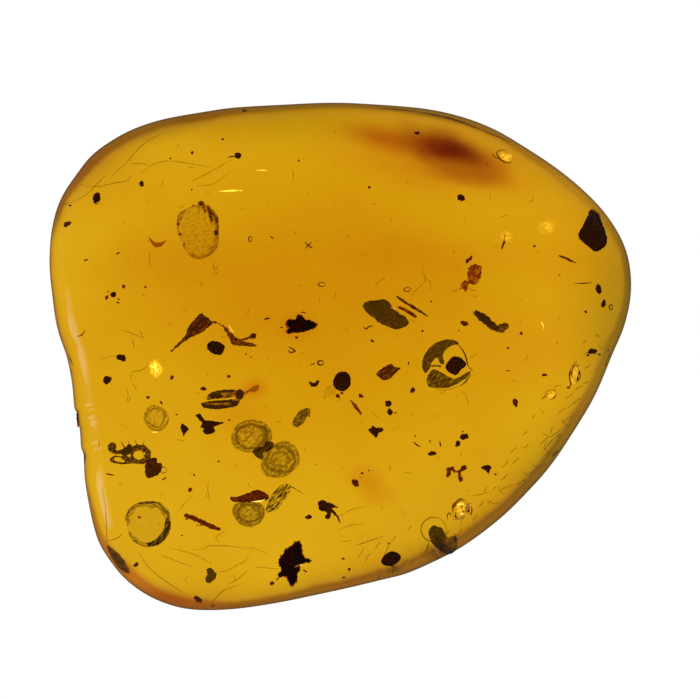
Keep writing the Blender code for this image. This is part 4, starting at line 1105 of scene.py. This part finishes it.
# Flat cracks drawn as films, whose darker rims and mottling are painted shade, and painted glows:
# middle on the grid, finish, tone, lift in millimetres and shapes
films = {
    "upper_disc": ((252, 435), "veil", ringed((20, 16.5), 0.80, 0.82, 0.2, 0.24, 35, (
        (0.72, 0.10, 0.46), (0.98, 0.05, 0.58))), 0.30, (
        ("slab", ((232, 438), (235, 428), (243, 421), (254, 419), (264, 421.5), (271, 428),
                  (273, 436), (269, 444), (261, 450), (250, 451.5), (240, 449.5),
                  (234, 445)), 1.3),)),
    "lower_disc": ((281, 459), "veil", ringed((19.5, 18), 0.76, 0.80, 0.2, 0.24, 50, (
        (0.40, 0.08, 0.60), (0.74, 0.10, 0.50), (0.98, 0.05, 0.58))), -0.25, (
        ("slab", ((262, 462), (265, 452), (272, 445), (281, 441), (289, 440.6), (296, 446),
                  (300, 455), (299, 464), (293, 470), (287, 475), (276, 477), (266, 474.6),
                  (261.6, 468)),
                  1.3),)),
    "left_disc": ((157, 417), "veil", ringed((13, 12.5), 0.94, 0.80, 0.25, 0.16, 60, (
        (0.70, 0.09, 0.62), (0.99, 0.06, 0.60))), 0.30, (
        ("slab", ((145, 416), (148, 409), (154, 405), (162, 406), (168, 411), (170.5, 418),
                  (168, 426), (161, 430.5), (153, 429), (147, 423)), 1.2),)),
    "ring_disc": ((149.5, 522.5), "veil", ringed((22.5, 22.5), 1.05, 0.80, 0.2, 0.08, -30, (
        (0.84, 0.035, 0.62), (0.97, 0.04, 0.46))), 0.30, (
        ("slab", ((127.4, 516), (132, 507), (140, 501.5), (150, 500), (160, 501.5), (168, 508),
                  (172, 517), (172, 528), (167, 537), (159, 543), (149, 545.5), (139, 542),
                  (131.6, 535), (130, 526)), 1.2),
        ("rod", ((154, 500, 0.6), (163, 502, 0.8), (169.6, 509, 0.8), (172, 518, 0.6))))),
    "ring_shadow": ((162, 530), "veil", streaks(50, 0.25, 0.62, 4, 1.6), 0.36, (
        ("slab", ((170, 516), (172, 525), (168.6, 535), (161, 542.6), (152, 544.6), (148, 541.6),
                  (155, 539), (161.6, 533), (165.6, 526), (167, 519)), 1.2),)),
    "rust_disc": ((249.5, 512), "veil", ringed((16.5, 13), 0.72, 0.66, 0.3, 0.20, 20, (
        (0.70, 0.10, 0.46), (0.98, 0.05, 0.52))), -0.30, (
        ("slab", ((233.4, 508), (237, 502), (246, 499.4), (257, 500), (264, 505), (265.6, 512),
                  (262, 520), (255, 525), (245, 525), (238, 520), (234, 513.6)), 1.3),)),
    "olive_wing": ((280, 496), "veil", streaks(52, 0.25, 1.0, 3, 1.9), -0.30, (
        ("slab", ((266, 511), (268, 503), (272, 494), (278, 487), (284, 482.6), (290, 484),
                  (291, 489), (287, 496), (281, 504), (277, 509), (270, 511)), 1.3),
        ("rod", ((289, 484, 0.8), (296, 488, 0.6), (304, 493, 0.4))))),
    "grain_crescent": ((441, 355), "olive", streaks(48, 0.22, 0.62, 4, 1.6), 0.0, (
        ("slab", ((423.5, 372), (421.5, 364), (425, 353), (434, 343.5), (446, 339.5), (454, 340.5),
                  (458, 344), (452, 345), (446, 349), (442, 355), (443.4, 363), (439.4, 363.5),
                  (437, 357), (432, 361), (428.4, 369), (425.5, 372.5)), 2.8),)),
    "grain_shadow": ((446, 380), "olive", streaks(38, 0.15, 0.85, 4, 1.6), 0.0, (
        ("slab", ((426, 380), (428, 374), (433, 369), (440, 372), (446, 375.5), (454, 378.5),
                  (461, 375), (470, 371), (465, 378), (456, 383.6), (446, 387.5), (436, 387.5),
                  (428, 386)), 2.6),
        ("rod", ((431, 366, 1.0), (436, 365.6, 1.1), (440, 366.4, 0.8))))),
    "edge_film": ((441, 538), "olive", spots(streaks(30, 0.05, 0.45, 2, 2.6), ((10, -2, 7, 0.88),)),
                  0.2, (
        ("slab", ((428, 532), (430, 526), (433, 523.5), (437, 525), (441, 526.5), (444, 532),
                  (447, 536), (452, 534.5), (456, 539), (456, 547), (451, 552), (444, 552),
                  (437, 547), (431, 541)), 1.8),
        ("ball", (454.4, 538), (4, 7.4, 4)))),
    "star_glow": ((157, 368), "glow", barred(11, 80, 1.0), 0.0, (
        ("slab", ((150, 368), (152, 362), (157, 359), (161, 363), (164, 369), (161, 376),
                  (156, 378), (152, 374)), 1.2),)),
    "top_bubble_glow": ((504, 158), "glow", barred(11, 35), 0.2, (
        ("slab", ((497, 156), (501, 153.6), (504, 155), (509, 155), (511.4, 160), (507, 163),
                  (501, 160.6)), 1.2),)),
    "right_bubble_glow": ((574, 372), "glow", fading(16), 0.2, (
        ("slab", ((570, 372), (573, 366), (576, 365), (578, 370), (576, 378), (572, 384),
                  (570, 380)), 1.2),)),
    "low_bubble_glow": ((550, 394), "glow", fading(9), 0.2, (
        ("slab", ((544, 397), (547, 392), (552, 390), (555, 393), (552, 396), (548, 399)), 1.2),)),
    "flake_glow": ((459.6, 507), "glow", barred(9, 66, 0.75), 0.1, (
        ("slab", ((453, 515), (455, 507), (457, 500), (461, 497.6), (464.6, 501), (464.6, 507),
                  (461, 512), (459, 517), (455, 518)), 1.2),)),
    "upper_flash": ((545, 228), "glow", barred(9, 30, 0.55), 0.2, (
        ("slab", ((533, 228), (538, 221), (546, 218), (554, 223), (557, 230), (551, 237),
                  (542, 238)), 1.0),)),
    "small_flash": ((505, 238), "glow", barred(7, 10, 0.45), 0.2, (
        ("slab", ((495, 239), (500, 233), (508, 231), (514, 236), (512, 243), (503, 245)), 1.0),)),
    "low_smear": ((331, 392), "veil", streaks(70, 0.8, 1.1, 2, 2.0), 0.0, (
        ("slab", ((323, 399), (325, 392), (328, 386), (333, 385), (336, 390), (334, 396),
                  (330, 395), (326, 397)), 1.0),)),
    "brown_y": ((157, 244), "rustRed", streaks(-40, 0.9, 1.2, 2, 2.0), 0.0, (
        ("slab", ((150, 238), (153, 240), (157, 243), (163, 243), (168, 241), (163, 247),
                  (157, 248), (153, 244)), 1.0),)),
    "chip_fill_upper": ((79, 418), "rustRed", streaks(90, 0.35, 0.75), -0.1, (
        ("rod", ((80.2, 410, 0.8), (79.8, 414, 1.9), (80, 418, 1.8), (80, 423, 1.4),
                 (80, 426.5, 0.7))),)),
    "chip_fill_lower": ((86, 455), "rustRed", streaks(90, 0.35, 0.75), -0.1, (
        ("rod", ((86, 451.6, 1.5), (87.4, 452.6, 1.6), (86.8, 456, 1.6), (86.4, 460, 0.7))),)),
}

# Fine cracks and flow lines, as runs of places on the grid, all of one half-width
hairWidth = 0.42
hairs = (
    ((80, 185), (97, 188), (118, 184), (128, 182), (137, 173)),
    ((92, 192), (100, 184), (107, 177)),
    ((113, 178), (130, 162), (140, 150), (150, 142), (160, 137)),
    ((132, 165), (141, 165), (150, 166)),
    ((141, 176), (155, 166), (170, 162.5), (190, 165), (212, 169)),
    ((192, 183), (210, 174), (235, 160)),
    ((197, 187), (215, 185), (232, 172)),
    ((63, 207), (85, 198), (95, 190)),
    ((133, 380), (134, 372), (143, 370), (152, 364)),
    ((134, 383), (139, 390)),
    ((128, 388), (130, 395), (128, 402)),
    ((123, 330), (132, 333), (145, 338)), ((142, 331), (145, 339)), ((134, 338), (136, 348)),
    ((100, 359), (107, 358), (113, 356), (118, 356)),
    ((104, 485), (108, 510), (110, 545)),
    ((210, 480), (209, 488), (210, 494), (211, 501)),
    ((193, 494), (186, 502), (180, 510)),
    ((170, 546), (190, 551), (202, 556), (213, 562)),
    ((162, 553), (180, 560), (195, 566)),
    ((140, 550), (150, 565), (165, 578), (187, 592)),
    ((110, 541), (119, 537), (124, 533)),
    ((195, 548), (205, 547), (212, 544), (235, 545), (255, 549)),
    ((245, 545), (256, 547), (270, 553)),
    ((215, 570), (228, 569), (238, 563), (245, 560), (250, 552)),
    ((210, 600), (216, 595), (225, 588), (240, 583)),
    ((228, 583), (240, 576), (250, 567)),
    ((255, 565), (266, 566), (280, 567)),
    ((222, 541), (217, 536), (226, 529)),
    ((340, 515), (352, 508), (368, 505)),
    ((338, 529), (350, 524), (365, 522)),
    ((340, 540), (352, 539)),
    ((355, 544), (370, 539), (385, 534)),
    ((423, 265), (422, 272), (425, 281), (418, 288), (412, 295), (411, 302)),
    ((427, 280), (430, 285), (429, 290)),
    ((374, 287), (379, 282), (386, 278)),
    ((461, 390), (464, 394), (466, 399), (468, 405)),
    ((432, 386), (440, 390), (450, 388.5), (459, 386)),
    ((438, 394), (445, 391)),
    ((216, 262), (214, 267), (216, 270), (213, 275)),
    ((218, 266), (217, 271)),
    ((152, 252), (151, 260), (152, 268)),
    ((293, 170), (294, 182)),
    ((498, 485), (499, 490), (503, 493)),
    ((498, 490), (513, 484), (530, 480)),
    ((470, 495), (480, 493), (490, 490)),
    ((540, 452), (547, 444), (552, 438)), ((545, 455), (555, 444), (560, 434)),
    ((538, 444), (548, 435)), ((541, 432), (549, 436), (556, 431), (562, 426)),
    ((546, 440), (543, 447), (549, 452)), ((529, 462), (537, 466), (546, 461)),
    ((560, 418), (566, 424), (571, 420)), ((551, 426), (549, 433)),
    ((520, 470), (529, 474), (536, 470)), ((486, 498), (494, 503), (503, 500)),
    ((69, 353), (72, 358), (75, 363.4)),
    ((178, 439), (186, 440)),
    ((100, 437), (101, 444), (98, 452)),
)

# Short fine cracks scattered along the rim, between two numbers along its points
rimCracks = {"first": 14.0, "last": 28.0, "count": 54, "nearest": 9, "deepest": 44, "longest": 13}

# Faint dust threads, all through the stone: how far they lie out, how long they are, and how bent
dust = {"count": 220, "widest": 262, "longer": 1.13, "upTo": 0.9, "shortest": 1.5, "more": 8,
        "bend": 0.4, "halfWidth": 0.36}

# Darker lines, some of them marks in the resin and some painted shade: half-width, then the places
darkLines = (
    (0.7, ((455, 343), (461, 349), (465, 357), (467, 365), (472, 371))),
    (0.6, ((459, 386), (465, 381), (470, 374))),
    (0.7, ((79.6, 335.6), (83.4, 335.2), (87.6, 330.4))),
    (0.9, ((69.4, 353), (72, 358.6), (74.6, 363))),
    # painted shade: the dark line inside the top rim, for the stone's lower edge seen through it
    (0.5, ((376, 110), (392, 111), (410, 112.8), (425, 115))),
    (0.8, ((422, 114.4), (444, 119), (462, 124.6), (478, 131))),
    (0.5, ((478, 131), (494, 137.4), (510, 144.6))),
    # painted shade: the dark rim lines of the ring disc, where the crack bends the light away
    (0.5, ((128, 520), (131, 509), (139, 502.6), (150, 500.6), (160, 502.4), (167, 508.6),
           (171.6, 517))),
    (0.4, ((135, 508), (143, 502.6), (152, 502), (160, 505.4), (165, 511))),
    (0.5, ((172.4, 519), (170, 526), (167.6, 531), (163, 537))),
    (0.8, ((229, 159), (233, 158), (237, 158))),
    # painted shade: dark outlines of the bubbles and the flake, where they bend the light away
    (0.8, ((574.6, 364), (570.6, 367.6), (568, 373), (568, 379), (569, 384), (567, 387))),
    (0.7, ((540, 399), (545, 394.6), (550, 391.6), (554, 389))),
    (0.6, ((506, 151.4), (499, 151.6), (495.6, 154.4), (497, 158), (501, 162.4), (507, 164.6),
           (511, 163))),
    (0.5, ((491, 155), (494, 158.6), (500, 160.6))),
    (0.7, ((573.6, 364.4), (577.6, 366))),
    (1.3, ((451.6, 511), (451.8, 505.6), (455, 501.4), (459.6, 498), (463.6, 498.6))),
    (0.6, ((447, 518), (446.6, 513.6), (449, 511.4), (450, 515))),
    (0.45, ((461.4, 511), (460.2, 506), (461, 500.6))),
    (0.8, ((454.4, 511), (454.4, 515.6), (457.4, 518))),
    (0.8, ((466.6, 502), (468, 507), (467.4, 511), (465.6, 506))),
    (0.7, ((470, 504), (471, 509), (469.6, 514))),
    (1.0, ((551, 455), (555, 451), (558, 448))),
    (0.7, ((603, 365), (606, 359), (609, 350))),
    (0.5, ((428, 541), (427, 547), (425, 553))),
    (0.8, ((168, 476), (166, 477.6), (163, 479))),
    (0.6, ((414, 434), (415.4, 437))),
    (0.9, ((413, 441), (416, 444), (420, 446))),
    (0.7, ((429, 439), (429.6, 442))),
    (0.7, ((439, 440), (440, 446))),
    (0.9, ((265, 320), (268, 318.6), (271, 318.8))),
    (0.8, ((108, 473), (112, 473.6), (116, 474.4))),
    (0.7, ((301, 313), (304, 312.6), (306, 314))),
    (0.8, ((363, 327), (366, 329), (369, 326.6), (373, 326.4))),
    (0.8, ((289, 346.6), (292, 348.4), (295.6, 351), (291, 352.4), (288.6, 350))),
    (0.8, ((305, 243), (309, 246.6), (313, 249))),
    (0.7, ((312, 243), (308, 246.6), (306, 250))),
    (0.7, ((271, 237), (274, 239.6))),
    (0.6, ((572, 283.6), (580, 284), (590, 283))),
    (0.7, ((86, 261.6), (90, 260))),
    (0.7, ((118, 255), (121.6, 253))),
)

# Small rings: middle on the grid, length, width and thickness
smallRings = (
    ((322, 285), 8, 5, 1.1), ((407, 290), 8.4, 5, 1.2), ((321, 362.6), 7.4, 6, 1.7),
    ((251, 240), 4.4, 6.4, 1.2), ((165, 469), 7, 7, 0.9), ((433, 528), 26, 25, 0.8),
    ((455.4, 537), 4.4, 8.4, 1.0), ((609, 307), 5, 6, 1.4), ((99, 203.4), 5.4, 4.6, 1.2),
)

# Specks: middle on the grid, length, width and turn
specks = (
    ((297, 337.5), 3, 2.6, 0), ((230, 376), 3, 3, 0), ((230, 419.5), 2.4, 2.2, 0),
    ((204.6, 388.4), 5.6, 4.4, 0), ((173.5, 377), 4.4, 3.2, 60), ((149.6, 397), 3.4, 2.8, -30),
    ((162.6, 402), 4.4, 2, -40), ((141, 516), 2.8, 2.2, 40), ((108.6, 298), 4.4, 3, 60),
    ((125.6, 287), 4.6, 3.4, -60), ((147, 287.6), 2.4, 2.2, 0), ((120.4, 299.6), 2.4, 1.8, 0),
    ((120, 303), 3.4, 1.6, -20), ((72, 206), 3, 1.8, 20), ((193.5, 154), 2.6, 3.4, 0),
    ((172, 160), 2.4, 1.8, 0), ((224, 141), 2, 3, 60), ((417, 134.5), 5, 3, 0),
    ((369, 188.5), 2.6, 2.4, 0), ((299, 162), 2.4, 2, 0), ((533, 247), 2.6, 2.2, 0),
    ((520, 333.6), 3.2, 2.8, 0), ((507, 348), 2.8, 2.6, 0), ((422, 331), 2.6, 2.2, 0),
    ((584, 312), 2.6, 3, 0), ((542.8, 374.6), 5, 2.6, 0), ((507, 370.6), 4, 1.4, 0),
    ((343, 557), 3, 2, 0), ((349, 568), 2.4, 3.2, -30), ((343, 576.8), 3, 2.2, 0),
    ((389, 542), 2, 1.8, 0), ((372, 341), 4, 2, -30), ((395, 412.6), 2, 1.8, 0),
    ((362, 472), 3, 1.8, 0), ((368.6, 469.4), 1.8, 1.4, 0), ((191.6, 488.6), 4.2, 4.2, 0),
    ((195.6, 474), 2, 2, 0), ((219.5, 460.4), 2, 1.8, 0), ((137.6, 563), 5.4, 3.4, 30),
    ((197.6, 596), 7.4, 4.4, -30), ((211, 603), 4, 3, 0), ((338, 395.6), 4.6, 4, 0),
    ((342, 392.6), 3.6, 2, 0), ((272.4, 581.6), 4.4, 3.4, 20), ((278, 577), 5, 1.2, 40),
    ((305, 569), 5, 1.8, -30), ((392.6, 565), 4, 2.4, 0), ((494, 473), 2.4, 2, 0),
    ((462, 431), 2, 1.6, 0), ((466.4, 261.8), 3.6, 4.6, -30), ((469.8, 258.8), 2.8, 4.6, -30),
    ((606, 347), 3, 1.8, 0), ((252, 357), 1.8, 1.2, 0), ((247, 354), 2, 1.6, 0),
    ((313, 364), 4, 1.2, 20), ((566.6, 387.4), 3, 2, 0), ((514, 402), 4.6, 8, 10),
    ((243.4, 113), 5, 3.4, 0), ((164, 119.6), 2.4, 1.2, 10), ((557.6, 275.6), 2.6, 1.4, 0),
    ((430.6, 302), 1.6, 2.4, 0), ((178, 414), 2.4, 1.2, 0), ((282, 327.6), 2.6, 1.4, 0),
    ((183, 534), 2.4, 1.2, 0), ((193, 191), 1.4, 2, 0), ((408, 363), 1.4, 3, 0),
    ((586, 355), 3.6, 2, 60), ((597, 353), 2.4, 1.8, 0), ((110, 292), 2.4, 1.6, 40),
    ((458, 331), 1.8, 1.2, 0),
)

# Painted highlights, glowing lines where cracks catch the light: half-width, then the places
painted_glints = (
    (0.9, ((220, 192.6), (228, 192.2), (236, 191.8), (243, 192))),
    (0.5, ((257, 172), (262, 171.6), (268, 172))),
    (0.8, ((152, 366), (157, 368), (161, 374))),
    (1.1, ((156, 361), (157.6, 368), (156.6, 376))),
    (0.7, ((229.6, 325), (232.4, 330), (235, 333))),
    (0.35, ((433, 545.6), (437, 551), (441, 556))),
    (0.9, ((295, 565.4), (299.6, 563.4), (304, 562.4))),
    (0.6, ((539.6, 322), (541.6, 326), (542, 330))),
    (0.7, ((154, 431.6), (159, 431.4))),
    (0.8, ((456, 504), (460, 502.6), (463, 502.6))),
    (0.8, ((459, 513.6), (464, 512.6))),
    (0.7, ((252, 500.4), (260, 500), (266, 498))),
    (0.6, ((389.6, 307.4), (393.6, 309))),
)


def addLine(bm, points, radius, sides=6):  # one closed tube along a smooth open line
    count = (len(points) - 1) * 4 if len(points) > 2 else 3
    ends = (points[0], *points, points[-1])
    rows = []
    for index in range(count + 1):
        along = index / count * (len(points) - 1)
        start = min(int(along), len(points) - 2)
        part = along - start
        p, q, r, s = (Vector(ends[start + k]) for k in range(4))
        flat = 0.5 * (2 * q + (r - p) * part + (2 * p - 5 * q + 4 * r - s) * part ** 2
                      + (3 * q - p - 3 * r + s) * part ** 3)
        way = ((r - p) * 0.5 + (2 * p - 5 * q + 4 * r - s) * part
               + 1.5 * (3 * q - p - 3 * r + s) * part ** 2).normalized()
        x, y = spot(*flat)
        thick = radius * (0.35 + 0.65 * sin(pi * index / count))
        thick *= 1 + 0.5 * noise.noise(Vector((x, y, 4)) * 4)
        centre = Vector((x, y, flowHeight(x, y) + 0.25 * noise.noise(Vector((x, y, 9)) * 0.3)))
        side = Vector((way.y, way.x, 0)) * grid["square"]
        rows.append([bm.verts.new(centre + side * cos(tau * k / sides) * thick
                                  + Vector((0, 0, grid["square"])) * sin(tau * k / sides) * thick)
                     for k in range(sides)])
    for row in rows:
        for vert in row:
            vert.co = throughLens(vert.co)
    bm.faces.new(rows[0])
    bm.faces.new(rows[-1][::-1])
    for near, far in zip(rows, rows[1:]):
        for k in range(sides):
            after = (k + 1) % sides
            bm.faces.new((near[k], far[k], far[after], near[after]))


def spread(number, step):  # shares that fall all over from 0 to 1, and the same ones each time
    return number * step % 1


def crackLines():
    lines = []
    for k in range(1, rimCracks["count"] + 1):
        along = rimCracks["first"] + (rimCracks["last"] - rimCracks["first"]) * spread(k, 0.618)
        rimPlace = rimLine[int(along / len(rim) * len(rimLine))]
        inward = (Vector(grid["middle"]) - rimPlace).normalized()
        further = (rimCracks["deepest"] - rimCracks["nearest"]) * spread(k, 0.755) ** 1.5
        way = Matrix.Rotation(tau * spread(k, 0.383) / 3 - 1.0, 2) @ Vector((inward.y, -inward.x))
        start = rimPlace + inward * (rimCracks["nearest"] + further)
        reach = rimCracks["longest"] * (0.35 + 0.65 * spread(k, 0.471))
        bend = start + way * reach / 2 + inward * reach * 0.3 * (spread(k, 0.927) - 0.5)
        lines.append((tuple(start), tuple(bend), tuple(start + way * reach)))
    return lines


def dustLines():
    lines = []
    for k in range(1, dust["count"] + 1):
        way, reach = tau * spread(k, 0.618), dust["widest"] * spread(k, 0.7549) ** 0.5
        u = grid["middle"][0] + reach * cos(way) * dust["longer"]
        v = grid["middle"][1] + reach * sin(way)
        if rimShare(*spot(u, v)) > dust["upTo"]:
            continue
        turn = tau * spread(k, 0.471)
        length = dust["shortest"] + dust["more"] * spread(k, 0.337) ** 2
        bend = length * dust["bend"] * (spread(k, 0.219) - 0.5)
        along, across = cos(turn), sin(turn)
        half = (u + along * length / 2 - across * bend, v + across * length / 2 + along * bend)
        lines.append(((u, v), half, (u + along * length, v + across * length)))
    return lines


def ringLine(middle, length, width, thick, count=20):  # half-width and places of one closed ring
    wide, tall = (length - thick) / 2, (width - thick) / 2
    loop = [(middle[0] + wide * cos(tau * k / count), middle[1] + tall * sin(tau * k / count))
            for k in range(count)]
    return thick / 2, (*loop, loop[0])


def finishGroup(name, bm, finish, tone):  # many small things of one kind, as one piece
    bmesh.ops.recalc_face_normals(bm, faces=bm.faces)
    bmesh.ops.scale(bm, vec=(mm, mm, mm), verts=bm.verts)
    mesh = bpy.data.meshes.new(name)
    bm.to_mesh(mesh)
    bm.free()
    values = [tone + 0.12 * noise.noise(vert.co * 900) for vert in mesh.vertices]
    mesh.attributes.new("thin", "FLOAT", "POINT").data.foreach_set("value", values)
    mesh.shade_smooth()
    mesh.materials.append(finishNamed(finish))
    piece = bpy.data.objects.new(name, mesh)
    scene.collection.objects.link(piece)
    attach(piece, "root")


def makeFilms():
    for name, (middle, finish, tone, lift, shapes) in films.items():
        grow(name, middle, finish, shapes, voxel=0.45, rough=0.35, lift=lift, tone=tone,
             stands=False, inside=not name.startswith("chip"))
    print("films on the flat cracks")


def makeFineMarks():
    lineGroups = {   # finish, tone, and the lines with their half-widths
        "hair_lines": ("veil", 0.72, [(hairWidth, points) for points in (*hairs, *crackLines())]),
        "dust_threads": ("veil", 0.78, [(dust["halfWidth"], points) for points in dustLines()]),
        "dark_lines": ("barkBrown", 0.62, darkLines),
        "painted_glints": ("painted_glint", 0.9, painted_glints),
        "small_rings": ("barkBrown", 0.66, [ringLine(*values) for values in smallRings]),
    }
    for name, (finish, tone, lines) in lineGroups.items():
        bm = bmesh.new()
        for radius, points in lines:
            addLine(bm, points, radius)
        finishGroup(name, bm, finish, tone)
    bm = bmesh.new()
    for (u, v), length, width, turn in specks:
        x, y = spot(u, v)
        home = Vector((x, y, flowHeight(x, y)))
        size = Vector((length, width, width * 0.8)) * grid["square"] / 2
        place = Matrix.LocRotScale(home, Matrix.Rotation(radians(turn), 3, "Z"), size)
        grown = bmesh.ops.create_icosphere(bm, subdivisions=3, radius=1.0, matrix=place)["verts"]
        for vert in grown:
            ragged = noise.fractal(vert.co * 12, 0.7, 2.0, 3) * 0.5
            vert.co = throughLens(vert.co + (vert.co - home) * ragged)
    finishGroup("specks", bm, "rustRed", 0.42)
    print("hair lines, specks and glints")


makeCamera()
makeSky()
makeTable()
makeSoftbox()
makeStone()
makeSealed()
makeFilms()
makeFineMarks()
